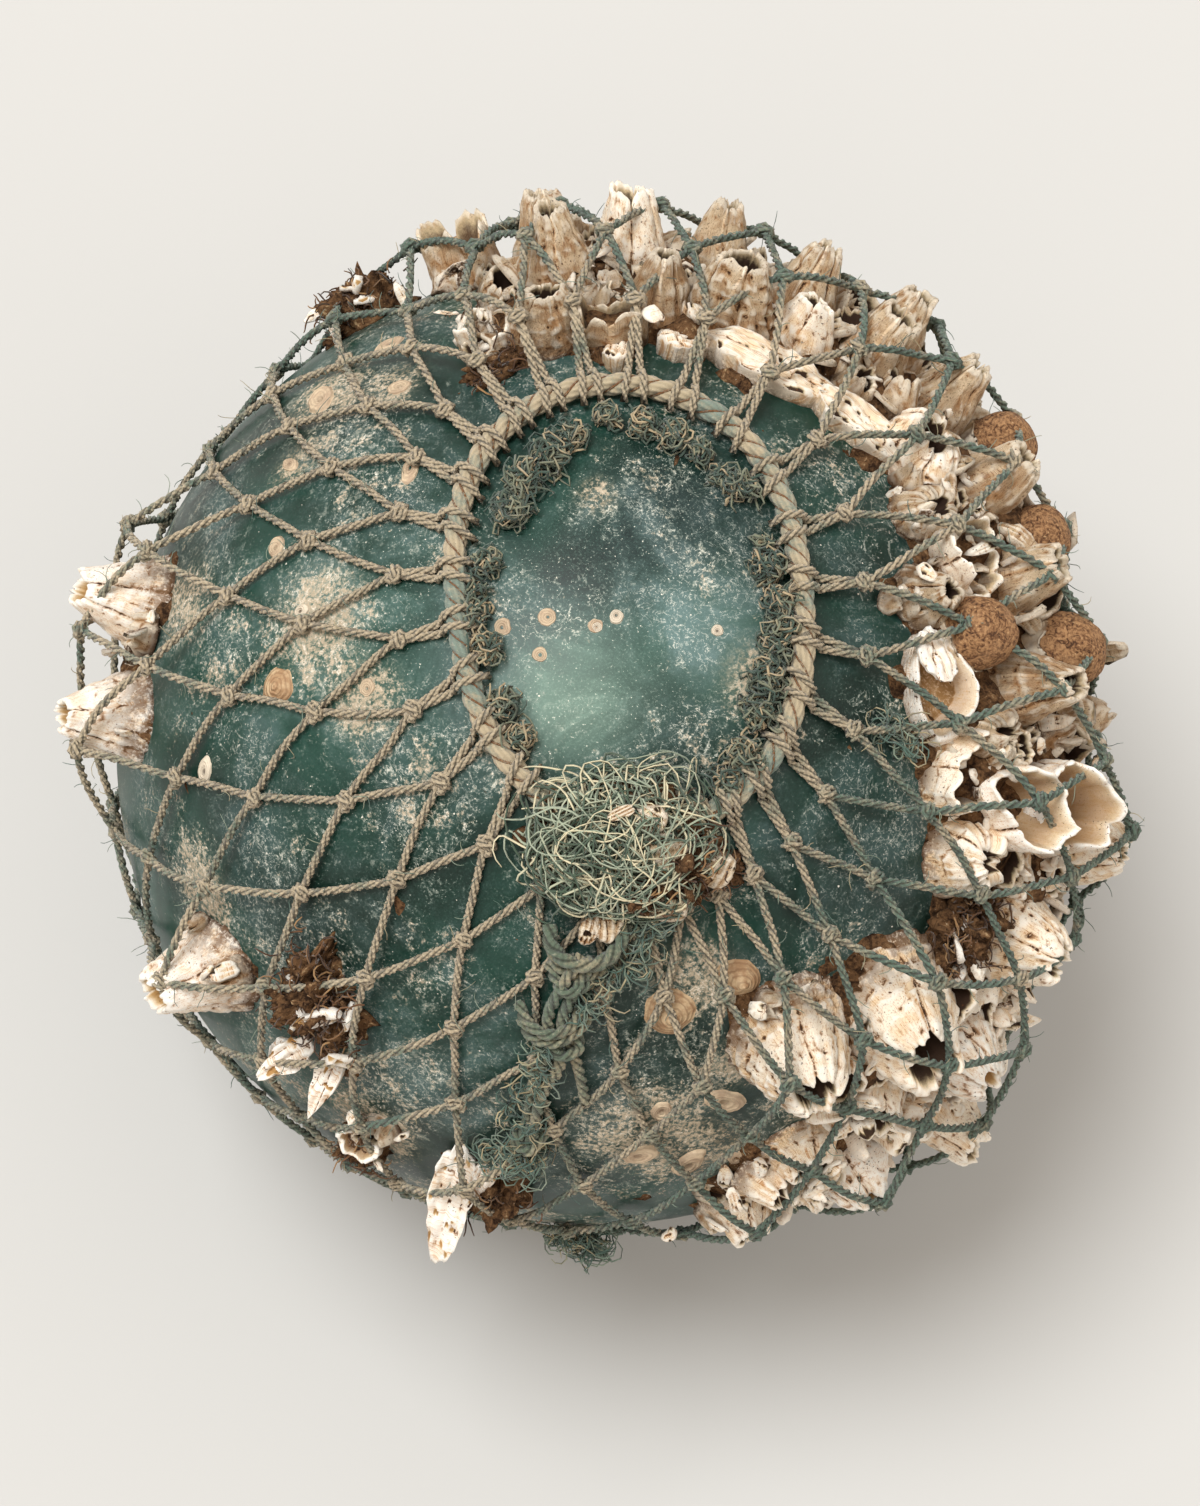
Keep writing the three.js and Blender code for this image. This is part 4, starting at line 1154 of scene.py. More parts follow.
def make_growths():
    """One piece for each growth of the frame."""
    fine, small = blank(70, 27), blank(50, 20)
    counted = {}
    for index, (kind, polar, azimuth, width, depth, height, turn, lean) in enumerate(GROWTHS):
        counted[kind] = counted.get(kind, 0) + 1
        node = f"{kind}_{counted[kind]}"
        tube = fine if max(width, depth) > 26 else small
        seed = 11 + index * 3
        bundle = Bundle()
        tan = index < LAST_TAN and index % 4 != 2 and kind != "shell_plate"
        slot, finish = "shell", SHELL_WHITE if node in WHITE_GROWTHS else (SHELL_CREAM, SHELL_TAN)[tan]
        if kind in SHELL_FORMS:
            form = dict(SHELL_FORMS[kind])
            if node in LAYERED:
                form.update(bands=6.5, ledge=0.10)
            if node in SQUAT:
                form.update(flare=0.72, ridge=0.17, ledge=0.10, bands=6.5, jag=0.2)
                width, depth, height = width * 1.08, depth * 1.05, height * 0.86
            if kind == "barnacle":
                form["mouth"] = 0.32 + 0.15 * ((index * 0.618) % 1)
                form["ribs"] = 15 + index % 4 * 3
            settle = OYSTER_SETTLE if kind == "oyster_shell" else 1.0
            shape = cone_shell(tube, seed, width, depth, height * settle, **form)
        elif kind == "shell_plate":
            tube = fine
            shape = plate_shell(tube, seed, width, depth, height, edge=0.6)
        elif kind == "brown_dome":
            tube, slot, finish = fine, "brown_shell", BROWN_SKIN
            settle = 1.0 if node == "brown_dome_3" else DOME_SETTLE
            shape = domed_growth(tube, seed, width * 1.04, depth * 1.04, height * settle)
        else:
            tube, slot, finish = fine, "brown_growth", SEA_MAT
            shape = lump(tube, seed, width, depth, height, 0.6, 3.6)
        if node in SHARDS:
            for shard in SHARDS[node]:
                add_shard(bundle, small, seed, *shard)
        else:
            grow(bundle, tube, shape, TURNED.get(node), polar, azimuth, turn, lean)
        if kind == "oyster_shell":
            add_oyster_flap(bundle, small, polar, azimuth, turn)
        bundle.piece(f"grown_{node}", finish, slot, node)


def add_shard(bundle, tube, seed, polar, azimuth, length, breadth, turn, pitch, lift, pointed):
    """A long shard of shell, raised at its tip."""
    shape = plate_shell(tube, seed + round(length), length, breadth, 5.0, 0.45, 1.0, pointed, 0.035)
    grow(bundle, tube, shape, (-pitch, 0, 0, lift), polar, azimuth, turn, foot=0.0)


def add_oyster_flap(bundle, tube, polar, azimuth, turn):
    """The raised nacre flap at the head of the oyster shell."""
    points, marks = plate_shell(tube, 5, 13, 17, 3.0, edge=0.5)
    points = tilted(points, 8, -14, 10, 7.5) + np.array([-4.0, 9.0, 0])
    grow(bundle, tube, (points, marks), None, polar, azimuth, turn,
         groove=marks["groove"] * 0.2, within=0.0, height=1.0, foot=0.0)


# Shells that fill the gaps between the growths: polar, azimuth, width.
FILLERS = [(63, 311, 20), (65, 317, 18), (69, 312, 22), (73, 316, 20), (79, 300, 20), (81, 307, 22),
           (79, 318, 22), (84, 305, 18), (80, 331, 22), (61, 346, 20), (55, 345, 18), (62, 3, 22),
           (64, 357, 20), (67, 9, 22), (66, 349, 20), (74, 341, 22), (58, 4, 18), (60, 10, 18),
           (46, 14, 14), (50, 358, 16), (45, 29, 15), (53, 30, 18), (46, 55, 16), (43, 61, 15),
           (49, 71, 15), (50, 83, 17), (47, 91, 15), (47, 104, 16), (53, 94, 18), (43, 121, 14),
           (50, 120, 18), (48, 45, 16), (55, 22, 18), (56, 37, 18), (63, 328, 20), (77, 324, 20),
           (83, 318, 18), (52, 67, 16), (55, 58, 18), (76, 333, 18), (70, 333, 18), (88, 309, 18),
           (57, 100, 18), (62, 88, 18), (62, 72, 18), (64, 50, 18), (64, 34, 18), (65, 18, 18),
           (58, 95, 24), (60, 82, 24), (61, 70, 24), (61, 58, 24), (59, 105, 22), (44, 104, 17)]


def make_fillers():
    """Broken shells and shards jammed between the growths."""
    draw = np.random.default_rng(77)
    tube, shard_tube = blank(34, 14), blank(20, 8)
    tan, pale = Bundle(), Bundle()
    for index, (polar, azimuth, width) in enumerate(FILLERS):
        bundle = pale if polar > 60 and azimuth > 290 else tan
        form = dict(mouth=draw.uniform(0.35, 0.85), pit=draw.uniform(0.4, 0.8), jag=0.32, bands=3.5, ribs=11,
                    wall=1.0, ridge=0.11, ledge=0.07, flare=draw.uniform(0.6, 1.0), bites=0.3 * (index % 2))
        shape = cone_shell(tube, 500 + index, width, width * draw.uniform(0.85, 1.15),
                           width * draw.uniform(0.6, 0.9), **form)
        tilt = draw.normal(0, 20), draw.normal(0, 20), 0, draw.uniform(0, 3)
        grow(bundle, tube, shape, tilt, polar, azimuth, draw.uniform(0, 360))
        for side in (-1, 1):
            length = draw.uniform(11, 22)
            breadth = length * draw.uniform(0.4, 0.7)
            shape = plate_shell(shard_tube, 560 + index * 2 + side, length, breadth, draw.uniform(1.6, 2.8),
                                0.4, 1.8, draw.uniform(0, 0.6), 0.03)
            tilt = draw.normal(0, 40), draw.normal(0, 34), draw.uniform(0, 360)
            tilt = *tilt, draw.uniform(0.35, 0.9) * width * 0.7
            grow(bundle, shard_tube, shape, tilt, polar + side * 2.6, azimuth + draw.normal(0, 3), foot=0.0)
    tan.piece("shells_between_tan", SHELL_TAN, "shell")
    pale.piece("shells_between_pale", SHELL_CREAM, "shell")


def make_small_growths():
    """Small shells, fragments and spat that crowd the gaps between the growths."""
    draw = np.random.default_rng(21)
    tube, chip_tube = blank(22, 9), blank(12, 5)
    cones, flakes = Bundle(), Bundle()
    anchors = [growth for growth in GROWTHS if growth[0] in ("barnacle", "rock_barnacle", "broken_shell")]
    shown = [growth for growth in GROWTHS if growth[0] in ("shell_plate", "brown_dome", "oyster_shell")]
    for index in range(90):
        _, polar, azimuth, width, depth, *_ = anchors[index % len(anchors)]
        toward = draw.uniform(0, TAU)
        reach = (width + depth) / 4 * draw.uniform(0.55, 1.25) / BALL_RADIUS
        azimuth = azimuth + math.degrees(reach * math.sin(toward)) / math.sin(math.radians(polar))
        polar = polar + math.degrees(reach * math.cos(toward))
        if polar < 33 + 4 * math.cos(math.radians(2 * (azimuth - OVAL_AZIMUTH))):
            continue
        way = direction(polar, azimuth)
        if any(apart_from(*growth[1:3], way) < (growth[3] + growth[4]) / 4 + 3 for growth in shown):
            continue
        size = draw.uniform(7, 15)
        base = float(ride_height(way)) * draw.uniform(0.0, 0.42)
        tall = size * draw.uniform(0.5, 0.95) + base * 0.35
        form = dict(mouth=draw.uniform(0.35, 0.75), pit=draw.uniform(0.4, 0.8), jag=0.3, bands=2.5, ribs=9,
                    wall=0.9, bites=0.3 if index % 3 == 0 else 0.0)
        shape = cone_shell(tube, 300 + index, size, size * draw.uniform(0.8, 1.2), tall, **form)
        tilt = draw.normal(0, 14), draw.normal(0, 14), 0, base * 0.4
        grow(cones, tube, shape, tilt, polar, azimuth, draw.uniform(0, 360))
        for _ in range(2):
            shape = plate_shell(chip_tube, 700 + index, draw.uniform(5, 12), draw.uniform(3, 7),
                                draw.uniform(0.9, 1.6), ragged=2.2)
            tilt = draw.normal(0, 45), draw.normal(0, 45), draw.uniform(0, 360), base + draw.uniform(1, 7)
            grow(flakes, chip_tube, shape, tilt, polar + draw.normal(0, 2.2), azimuth + draw.normal(0, 3))
    cones.piece("small_barnacles", SHELL_TAN, "shell")
    flakes.piece("shell_fragments", SHELL_CREAM, "shell")


MUD_TOP = 11
MUD_EDGE = -0.8  # where the mud would lie deeper than this in the glass, there is none
MUD_WALL = 0.9


def make_mud():
    """The matted mud and growth on the glass between the shells, highest where they crowd; its dark brown is
    partly mud and partly a dark sheet that stands in for the shade in the gaps between them.
    """
    mud = new_ball("mud_and_shade_between_shells", BALL_RADIUS, 264)
    mesh = mud.data
    points = np.zeros(len(mesh.vertices) * 3)
    mesh.vertices.foreach_get("co", points)
    points = points.reshape(-1, 3) / MM
    ways = unit(points - BALL_CENTRE)
    crowd = np.zeros(len(ways))
    for _, polar, azimuth, width, depth, height, _, _ in GROWTHS:
        reach = (width + depth) / 4 + 1.5
        crowd = crowd + np.exp(-((apart_from(polar, azimuth, ways) / reach) ** 4)) * (0.5 + height / 40)
    for polar, azimuth, width in FILLERS:
        crowd = crowd + 0.7 * np.exp(-((apart_from(polar, azimuth, ways) / (width * 0.62)) ** 4))
    texture = rough(points, 9, 31, 4)
    lift = crowd * 6.5 + texture * 3.2 - 3.6
    ragged = on_ball(ways, np.minimum(lift, MUD_TOP))
    mesh.vertices.foreach_set("co", (ragged * MM).ravel())
    low = lift < MUD_EDGE
    select_none("FACE")
    faces_low = np.array([low[list(face.vertices)].all() for face in mesh.polygons])
    mesh.polygons.foreach_set("select", faces_low)
    bpy.ops.object.mode_set(mode="EDIT")
    bpy.ops.mesh.delete(type="FACE")
    bpy.ops.object.mode_set(mode="OBJECT")
    wall = mud.modifiers.new("thickness", "SOLIDIFY")
    wall.thickness = MUD_WALL * MM
    wall.offset = -1
    bpy.ops.object.modifier_apply(modifier=wall.name)
    bpy.ops.object.shade_smooth()
    finished(mud, SEA_MAT, "brown_growth")


# ---- limpets, scars and crumbs on the bare glass: polar, azimuth, width, depth, height ----
LIMPETS = [(48.0, 290, 17, 16, 4.5), (45.6, 300.7, 16, 13, 5), (52.6, 310.8, 11, 13, 4),
           (42.4, 202.8, 12, 13, 3.2)]
SCARS = [(63, 288.8, 9, 7, 1.4), (63, 297.1, 15, 9, 1.8), (70.9, 286.4, 13, 9, 1.6),
         (74, 292.5, 16, 9, 1.8), (75.1, 298.1, 9, 6, 1.2), (31.2, 210.1, 6, 6, 0.7),
         (44, 178.2, 8, 7, 1.0), (52, 151, 17, 10, 1.5), (41.7, 143.7, 9, 7, 0.9),
         (52, 138, 12, 9, 1.0), (30.3, 158.3, 11, 6, 0.8), (47.9, 163.4, 9, 5, 0.8),
         (14.5, 208.1, 6, 6, 0.7), (12.2, 228.5, 5, 5, 0.5), (9.6, 210.4, 6, 6, 0.6),
         (5.6, 239.1, 5, 5, 0.5)]
WHITE_RINGS = [(3.4, 255.3, 4.6, 4.6, 1.0), (10.4, 349.1, 3.8, 3.8, 0.8), (5.6, 242, 3.4, 3.4, 0.7),
               (38.3, 191, 5.5, 5.0, 1.6), (56.8, 208.7, 10, 6.5, 1.2)]
DEBRIS = [(34.5, 127.8, 9, 21, 5), (33.2, 131, 7, 9, 3.5), (36.6, 125, 8, 10, 4),
          (80.3, 270.6, 20, 17, 10), (32.2, 302.2, 9, 15, 6), (57.4, 336, 22, 20, 12),
          (30.0, 293.5, 16, 14, 21), (26.6, 297.5, 11, 12, 13), (32.0, 286.5, 16, 13, 19),
          (55.8, 239.8, 17, 5, 9), (82.6, 254.2, 15, 15, 9), (33.6, 296, 9, 8, 4)]


def make_debris():
    """Ragged crumbs of brown sea growth."""
    bundle, tube = Bundle(), blank(48, 18)
    for index, (polar, azimuth, width, depth, height) in enumerate(DEBRIS):
        grow(bundle, tube, lump(tube, 150 + index, width, depth, height, 0.5, 3.0), None, polar, azimuth)
    bundle.piece("brown_debris", SEA_MAT, "brown_growth")


def make_scars():
    """Limpets with rings of growth, flat shell scars, and small white ring bases."""
    bundle, tube = Bundle(), blank(30, 12)
    rows = [(*row, 0.0, 0.62) for row in LIMPETS] + [(*row, 0.35, 0.25) for row in SCARS]
    rows += [(*row, 1.0, 0.3) for row in WHITE_RINGS]
    ring, angle = tube.ring, tube.angle
    share = clip01(ring / tube.rings)
    radius = np.where(ring < 0, 0, 1 - share)
    for index, (polar, azimuth, width, depth, height, pale, sharp) in enumerate(rows):
        outline = 1 + 0.10 * ripple(angle, 1.6, 40 + index) + 0.04 * ripple(angle, 5, 41 + index)
        flat = ramp(share, 0.0, 0.3) * (1 - 0.25 * share)
        rise = clip01(share * 1.02) ** (0.5 + sharp) if sharp > 0.5 else flat
        dimple = np.exp(-((radius / 0.24) ** 2)) if pale > 0.3 else 0 * radius
        x = radius * outline * np.cos(angle) * width / 2 + (1 - radius) * width * 0.08
        y = radius * outline * np.sin(angle) * depth / 2
        z = height * (rise + 0.05 * np.sin(share * 34)) - dimple * height * 0.6 + seat_of(x, y) * (1 - share)
        points = np.stack([x, y, np.where(ring < 0, 0, z)], -1)
        points[:, 2] += 0.16 * rough(points + index * 19.0, 2.5, 5, 2) * (share > 0)
        bundle.add(seated(points, polar, azimuth, index * 47, 0, -0.25), tube.faces,
                   height=share, within=dimple * (0.85 if pale > 0.9 else 0.45), pale=pale)
    bundle.piece("limpets_and_scars", LIMPET, "shell")


# ---- loose fibre ----
FIBRE_CLEARANCE = 0.3
TUFT_DENSITY = 9  # fibres for each mm of a tuft's radius
NEST_FIBRES = 580
CLUMP_HAIRS = 170
DEBRIS_HAIRS = 34


def curls(draw, count, steps, length, start, heading, wild, pull=None, hold=0.0):
    """Curling paths (curl, step, xyz) that set off from start along heading; pull is where they crowd."""
    stride = length / (steps - 1)
    here = np.array(start, float)
    ahead = unit(np.array(heading, float))
    spin = unit(draw.normal(size=(count, 3)))
    path = [here.copy()]
    for _ in range(steps - 1):
        spin = unit(spin + 0.5 * draw.normal(size=(count, 3)))
        ahead = unit(ahead + wild * np.cross(spin, ahead) + 0.25 * wild * draw.normal(size=(count, 3)))
        if pull is not None:
            ahead = unit(ahead + hold * (pull - here))
        here = here + ahead * np.reshape(stride, (-1, 1))
        path.append(here.copy())
    return np.stack(path, 1)


def add_fibres(bundle, paths, thick, draw):
    """Adds fibres as thin three-sided tubes, kept above the glass."""
    out = paths - BALL_CENTRE
    distance = np.linalg.norm(out, axis=-1, keepdims=True)
    paths = BALL_CENTRE + out / distance * np.maximum(distance, BALL_RADIUS + FIBRE_CLEARANCE)
    steps = paths.shape[1]
    taper = np.tile(1 - 0.45 * np.linspace(0, 1, steps) ** 3, (len(paths), 1))
    ups = unit(paths - BALL_CENTRE) + 0.01
    tubes(bundle, paths, ups, round_section(3, thick), taper=taper, lot=draw.random(len(paths)))


# Tufts inside the collar: polar, azimuth, radius.
TUFTS = [(15.5, 157, 7.5), (15.6, 181.5, 6), (16.9, 201, 6.5), (16.7, 215, 7), (18.6, 234.8, 6.5),
         (20.2, 246, 6), (17.2, 143, 7.5), (18.0, 131, 8), (19.2, 121, 6), (21.5, 109, 5.5),
         (20.2, 98, 6), (19.2, 88, 6), (18.6, 78, 5), (17.4, 59, 7), (17, 67, 4.5),
         (15.2, 25, 6.5), (16.0, 11, 6.5), (16.6, 0, 6.5), (16.8, 350, 6.5), (17.4, 340, 7.5),
         (18.9, 330, 7), (21.5, 318, 7.5), (22.8, 309.5, 6.5), (15.8, 35, 4.5), (16.5, 192, 4.5)]


def make_tufts():
    """The frayed curling ends of the net twines, in tufts on the glass inside the collar."""
    draw = np.random.default_rng(5)
    bundle = Bundle()
    for polar, azimuth, radius in TUFTS:
        count = int(TUFT_DENSITY * radius)
        radius = radius * 1.04
        middle = place(polar, azimuth, radius * 0.5)
        root = place(polar + 2.6, azimuth, 3.0)
        spread = unit(draw.normal(size=(count, 3)))
        start = middle + spread * radius * draw.uniform(0.1, 0.8, (count, 1)) + (root - middle) * 0.25
        length = draw.uniform(1.6, 3.2, count) * radius
        heading = draw.normal(size=(count, 3))
        paths = curls(draw, count, 10, length * 1.15, start, heading, 0.95, middle, 0.8 / radius)
        add_fibres(bundle, paths, 0.40, draw)
    bundle.piece("collar_tufts", TUFT_FIBRE, "fibre")


NEST_FOOT = 5.0
# Shells caught in the nest: polar, azimuth, width, depth, height, lift.
NEST_SHELLS = [(35.5, 279, 13, 10, 3.5, 7.5), (33.2, 289.5, 15, 12, 5.5, 9), (31, 300.5, 13, 11, 7, 7),
               (23.6, 279.5, 4, 9, 2.2, 20), (27.5, 290, 14, 12, 5, 15), (36.6, 276, 9, 6, 2.4, 9),
               (24, 287, 10, 9, 4, 17)]


def make_nest():
    """The matted nest of twine fibres over the collar, with brown growth and shells caught in it."""
    draw = np.random.default_rng(9)
    make_nest_heart()
    make_nest_fibres(draw)
    bundle, tube = Bundle(), blank(36, 14)
    for index, (polar, azimuth, width, depth, height, lift) in enumerate(NEST_SHELLS):
        tilt = draw.normal(0, 12), draw.normal(0, 12), index * 70, lift
        grow(bundle, tube, plate_shell(tube, 60 + index, width, depth, height), tilt, polar, azimuth)
    bundle.piece("nest_shells", SHELL_TAN, "shell", "fibre_nest")


def make_nest_heart():
    """The brown growth that the nest is matted round."""
    bundle, tube = Bundle(), blank(72, 28)
    shape = lump(tube, 77, NEST["width"] * 0.80, NEST["depth"] * 0.80, NEST["height"] * 0.56, 0.26, 4.5)
    grow(bundle, tube, shape, None, NEST["polar"], NEST["azimuth"], 0, 0, NEST_FOOT + SEAT_HEIGHT)
    bundle.piece("nest_heart", SEA_MAT, "brown_growth", "fibre_nest")


def make_nest_fibres(draw):
    """The fibres of the nest: they start all through it, curl along it, and are held under its dome."""
    along, aside, up = local_axes(NEST["polar"], NEST["azimuth"])
    half = np.array([NEST["width"] / 2, NEST["depth"] / 2])
    bundle = Bundle()
    foot = place(NEST["polar"], NEST["azimuth"], NEST_FOOT)
    count, steps = NEST_FIBRES, 13
    turn, reach = draw.uniform(0, TAU, count), np.sqrt(draw.uniform(0, 1, count)) * 0.95
    flat = np.stack([np.cos(turn) * reach * half[0], np.sin(turn) * reach * half[1]], -1)
    flat[:, 1] -= draw.choice([0.0, 0.40], count) * half[1] * (flat[:, 1] > 0)
    rise = NEST["height"] * np.sqrt(np.maximum(0.06, 1 - reach**2)) * draw.uniform(0.55, 1.0, count)
    start = foot + flat[:, :1] * along + flat[:, 1:] * aside + (rise + seat_of(*flat.T))[:, None] * up
    way = draw.uniform(0, TAU, count)
    heading = np.cos(way)[:, None] * along + np.sin(way)[:, None] * aside
    curl = curls(draw, count, steps, draw.uniform(20, 52, count), start, heading, 0.30, foot + up * 4, 0.010)
    offset = curl - foot
    x, y, z = offset @ along, offset @ aside, offset @ up
    reach = (np.abs(x / half[0]) ** 2.8 + np.abs(y / half[1]) ** 2.8) ** (1 / 2.8)
    ceiling = NEST["height"] * np.sqrt(np.maximum(0.0, 1 - np.minimum(reach, 1) ** 2)) + 0.6 + seat_of(x, y)
    height = np.clip(z, ceiling - 7.0, ceiling + 0.8)
    bearing = np.arctan2(y, x)
    lobes = 0.10 * np.sin(3 * bearing + 1) + 0.05 * np.sin(8 * bearing)
    edge = draw.uniform(0.72, 1.14, (count, 1)) + lobes * reach
    shrink = np.where(reach > edge, 0.62 * edge / reach + 0.38, 1)
    x, y = x * shrink, y * shrink
    paths = foot + x[..., None] * along + y[..., None] * aside + height[..., None] * up
    add_fibres(bundle, paths, 0.38, draw)
    bundle.piece("nest_fibres", NEST_FIBRE, "fibre", "fibre_nest")


# ---- the lacing below the nest: each cord is a list of polar, azimuth and height, and its radius ----
LACING_CORDS = [
    ([(37.0, 269.4, 7), (39.0, 270.6, 9.5), (40.2, 274.2, 11), (39.9, 278.4, 10.5), (38.2, 281.2, 9),
      (36.0, 282.6, 6)], 2.3),
    ([(38.4, 269.6, 4), (41.6, 272.4, 6.5), (42.0, 277.4, 6.5), (39.4, 281.8, 4.5)], 2.0),
    ([(39.6, 275.6, 8), (41.5, 274.2, 10), (44.4, 272.9, 9.0), (47.0, 272.2, 8), (49.4, 272.6, 7.5)], 1.9),
    ([(39.8, 277.4, 7.5), (42.2, 276.2, 8.5), (45.0, 274.8, 8.0), (47.5, 274.3, 7), (50.0, 274.6, 6)], 1.9),
    ([(47.4, 267.6, 4), (48.4, 269.4, 8.5), (48.9, 272.4, 11), (48.2, 275.4, 8.5), (46.6, 276.6, 4.5)], 1.8),
    ([(49.2, 268.4, 4), (50.2, 270.6, 8.5), (50.0, 273.8, 10.0), (48.8, 276.6, 7.0), (47.6, 278, 4)], 1.8),
    ([(50.4, 272.6, 6.5), (51.8, 274.6, 9), (51.2, 277.0, 7), (49.6, 276.6, 5)], 1.8),
    ([(50.2, 274.0, 6), (54.0, 274.9, 6.5), (57.5, 273.6, 6), (61, 273.2, 6), (66, 273.2, 5.0),
      (69.6, 272.6, 4.5)], 1.9),
    ([(50.4, 275.4, 5.5), (54.4, 277.4, 4.5), (60.0, 279.0, 3.4)], 1.75),
    ([(50.6, 272.8, 5.5), (54.6, 272.6, 5.5), (58, 272.0, 4.5), (63.5, 272.2, 4.2), (69, 272, 3.4)], 1.75),
    ([(66.0, 274.6, 3), (67.4, 273.2, 7.5), (67.8, 271.6, 5.5), (66.4, 271.4, 3)], 1.75),
    ([(42.0, 270.6, 3.4), (43.6, 273.6, 10.5), (43.2, 276.6, 8.0), (42, 278, 4)], 1.7),
]
# Frayed tufts outside the collar: polar, azimuth, height, radius, fibres.
FRAYED = [(55.4, 272.4, 6.0, 5.5, 36), (58.5, 272.8, 5.5, 4.5, 30), (64, 272.6, 5, 4.5, 40),
          (69.8, 272.6, 5.0, 8.0, 100), (45.5, 278.2, 5.5, 5.5, 26), (42.5, 279.4, 5, 5.0, 26),
          (47, 276.8, 6, 4.5, 20), (40.6, 283.5, 3, 7.0, 40), (100.9, 282.5, 5, 6.5, 110),
          (99.5, 279, 4, 4.5, 60), (72.5, 269, 3, 6, 44), (36.8, 286.0, 4, 7.5, 60),
          (52, 272.4, 7, 4.0, 40), (61.5, 270, 3, 5, 26), (34.6, 348.0, 4, 6.5, 56),
          (32.2, 348.6, 3, 5, 30)]


def smooth_path(points, steps):
    """A smooth run through the given places, as even steps."""
    polar, azimuth, height = np.array(points, float).T
    knots = place(polar, azimuth, height)
    padded = np.concatenate([knots[:1] * 2 - knots[1:2], knots, knots[-1:] * 2 - knots[-2:-1]])
    spot = np.linspace(0, len(knots) - 1 - 1e-6, steps)
    index = spot.astype(int)
    t = (spot - index)[:, None]
    a, b, c, d = (padded[index + k] for k in range(4))
    return 0.5 * (2 * b + (c - a) * t + (2 * a - 5 * b + 4 * c - d) * t**2 + (3 * b - a - 3 * c + d) * t**3)


def make_lacing():
    """The seam below the collar: a thick bight, doubled twine and round turns."""
    bundle = Bundle()
    for index, (points, radius) in enumerate(LACING_CORDS):
        steps = 12 * len(points)
        path = smooth_path(points, steps)[None]
        ways = unit(path - BALL_CENTRE)
        worn = np.full((1, steps), 0.32 + 0.3 * ((index * 0.37) % 1))
        tubes(bundle, path, ways, laid_section(3, radius), radius * 6.6, worn=worn, lot=(index * 0.29) % 1)
    bundle.piece("seam_lacing", LACING_CORD, "twine", "lacing")


def make_frayed_ends():
    """The frayed ends of the lacing and of cut twines."""
    draw = np.random.default_rng(14)
    bundle = Bundle()
    for polar, azimuth, height, radius, count in FRAYED:
        middle = place(polar, azimuth, height)
        start = middle + unit(draw.normal(size=(count, 3))) * radius * 0.3
        length = draw.uniform(1.2, 2.9, count) * radius
        heading = draw.normal(size=(count, 3)) + direction(polar, azimuth) * 0.4
        add_fibres(bundle, curls(draw, count, 7, length, start, heading, 0.6, middle, 0.05), 0.31, draw)
    bundle.piece("frayed_ends", FRAY_FIBRE, "fibre", "lacing")


def add_hair(bundle, draw, count, polar, azimuth, width, height):
    """Short matted hair on a brown growth."""
    way = unit(direction(polar, azimuth) + draw.normal(0, width / 3.4 / BALL_RADIUS, (count, 3)))
    start = on_ball(way, draw.uniform(0.3, 1.0, count) * height)
    heading = way * 0.6 + draw.normal(size=(count, 3)) * 0.8
    add_fibres(bundle, curls(draw, count, 6, draw.uniform(4, 10, count), start, heading, 0.6), 0.34, draw)


def make_fuzz():
    """Short stray fibres that stand off the net, and hair and shards on the brown growth."""
    draw = np.random.default_rng(31)
    make_stray_fuzz(draw)
    make_growth_hair(draw)


def make_stray_fuzz(draw):
    """Short stray fibres that stand off the net."""
    bundle = Bundle()
    for row in range(1, ROWS):
        here, below = net_knots(row), net_knots(row + 1)
        for shift in (0, 1):
            ends = np.roll(below, shift, axis=0)
            for _ in range(3 if row < 6 else 1):
                share = draw.uniform(0.05, 0.95, COLUMNS)[:, None]
                way = unit(here * (1 - share) + ends * share)
                lift = (ride_height(here)[:, None] * (1 - share) + ride_height(ends)[:, None] * share)[:, 0]
                start = on_ball(way, TWINE_HEIGHT + lift + 0.9)
                heading = way * 0.7 + draw.normal(size=(COLUMNS, 3)) * 0.8
                paths = curls(draw, COLUMNS, 5, draw.uniform(3, 8, COLUMNS), start, heading, 0.45)
                add_fibres(bundle, paths, 0.15, draw)
    bundle.piece("stray_fuzz", FRAY_FIBRE, "fibre")


def make_growth_hair(draw):
    """Hair on the brown growth, and shards of shell stuck in its clumps."""
    hair, shards, tube = Bundle(), Bundle(), blank(14, 6)
    clumps = [growth[1:6] for growth in GROWTHS if growth[0] == "brown_clump"]
    for polar, azimuth, width, _, height in clumps:
        add_hair(hair, draw, CLUMP_HAIRS, polar, azimuth, width, height)
        for index in range(7):
            shape = plate_shell(tube, 800 + index, draw.uniform(9, 19), draw.uniform(4, 7), 2.2)
            tilt = draw.normal(0, 30), draw.normal(0, 35), draw.uniform(0, 360), draw.uniform(3, height)
            grow(shards, tube, shape, tilt, polar + draw.normal(0, 2.6), azimuth + draw.normal(0, 3))
    for polar, azimuth, width, _, height in DEBRIS:
        add_hair(hair, draw, DEBRIS_HAIRS, polar, azimuth, width, height)
    hair.piece("growth_hair", BROWN_FIBRE, "brown_growth")
    shards.piece("shell_shards", SHELL_WHITE, "shell")


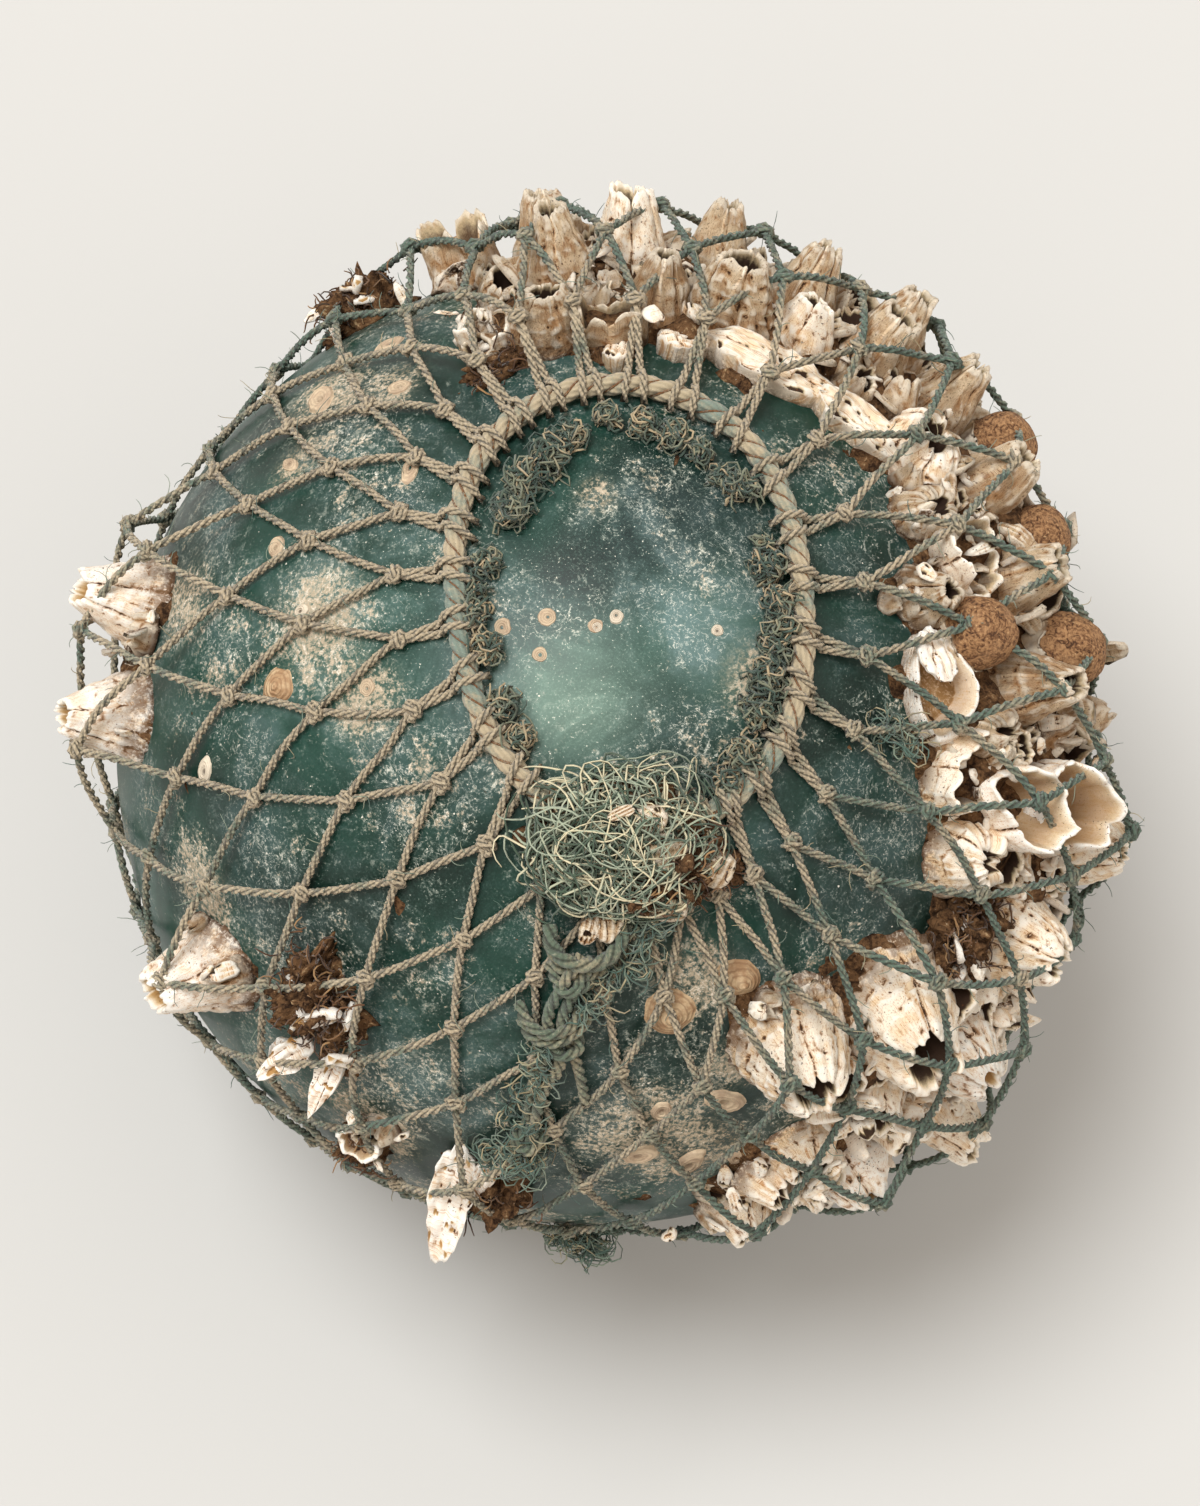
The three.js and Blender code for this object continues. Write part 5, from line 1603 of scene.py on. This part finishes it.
# ---- stage: floor, light and camera ----
def make_stage():
    """A pale sweep below, one soft key light from the upper left, and the camera above."""
    bpy.ops.object.select_all(action="DESELECT")
    bpy.ops.mesh.primitive_plane_add(size=6, location=(0, 0, 0))
    floor = bpy.context.object
    floor.name = "pale_floor"
    floor.data.materials.append(floor_finish())

    tilt, roll = math.radians(CAMERA_ELEVATION), math.radians(CAMERA_ROLL)
    back = Vector((0, -math.cos(tilt), math.sin(tilt)))
    level = Vector((1, 0, 0))
    upright = back.cross(level)
    right = level * math.cos(roll) + upright * math.sin(roll)
    top = upright * math.cos(roll) - level * math.sin(roll)
    centre = Vector(BALL_CENTRE * MM)
    camera = bpy.data.objects.new("camera", bpy.data.cameras.new("camera"))
    camera.data.lens = CAMERA_LENS
    camera.matrix_world = Matrix.Translation(
        centre + back * CAMERA_DISTANCE + right * CAMERA_ASIDE + top * CAMERA_RISE
    ) @ Matrix((right, top, back)).transposed().to_4x4()
    bpy.context.scene.collection.objects.link(camera)
    bpy.context.scene.camera = camera

    way = Vector(direction(KEY_POLAR, KEY_AZIMUTH))
    key = bpy.data.objects.new("key_light", bpy.data.lights.new("key_light", "SUN"))
    key.data.energy = KEY_POWER
    key.data.angle = math.radians(KEY_SPREAD)
    key.data.color = KEY_COLOUR
    key.location = centre + way
    key.rotation_mode = "QUATERNION"
    key.rotation_quaternion = way.to_track_quat("Z", "Y")
    bpy.context.scene.collection.objects.link(key)
    world = bpy.data.worlds.new("soft_room")
    world.use_nodes = True
    background = world.node_tree.nodes["Background"].inputs
    background["Color"].default_value = ROOM_COLOUR
    background["Strength"].default_value = ROOM_LIGHT
    bpy.context.scene.world = world
    bpy.context.scene.view_settings.view_transform = "Standard"


# ---- the making, in order ----
GLASS = glass_finish()
GLASS_WITHIN = inner_glass_finish()
TWINE_CORD = cord_finish("old_twine", "bba98d", "5c7062", "3b382c")
LACING_CORD = cord_finish("old_lacing", "a69a7e", "616e5c", "33362b", greenness=0.1)
ROPE_CORD = cord_finish("old_rope", "b8a78a", "7a887c", "4c4030", 15, 2.2, thread="8a5a2c")
TUFT_FIBRE = fibre_finish("tuft_fibre", "44544a", "80826c", "b09c7c")
NEST_FIBRE = fibre_finish("nest_fibre", "4a5a49", "a3ab94", "dccfac")
FRAY_FIBRE = fibre_finish("fray_fibre", "50665b", "7f8c7a", "ab9d7c")
BROWN_FIBRE = fibre_finish("brown_fibre", "4a311f", "6f4d31", "a07b52")
SHELL_CREAM = shell_finish("cream_shell", "efd2aa", "fcefdb", "bd8349", "fff6e8")
SHELL_TAN = shell_finish("tan_shell", "b58d64", "dfc5a2", "784b2b", "f6e8d3", low="573a24", relief=0.75)
SHELL_WHITE = shell_finish("white_shell", "f5e3cb", "fff6ea", "cf9d67", "fffaf1", "b98e58")
BROWN_SKIN = skin_finish()
SEA_MAT = mat_finish()
LIMPET = scar_finish()
for make in (make_stage, make_glass, make_growths, make_small_growths, make_fillers, make_mud, make_scars,
             make_debris, make_net, make_collar, make_base_ring, make_tufts, make_nest, make_lacing,
             make_frayed_ends, make_fuzz):
    make()
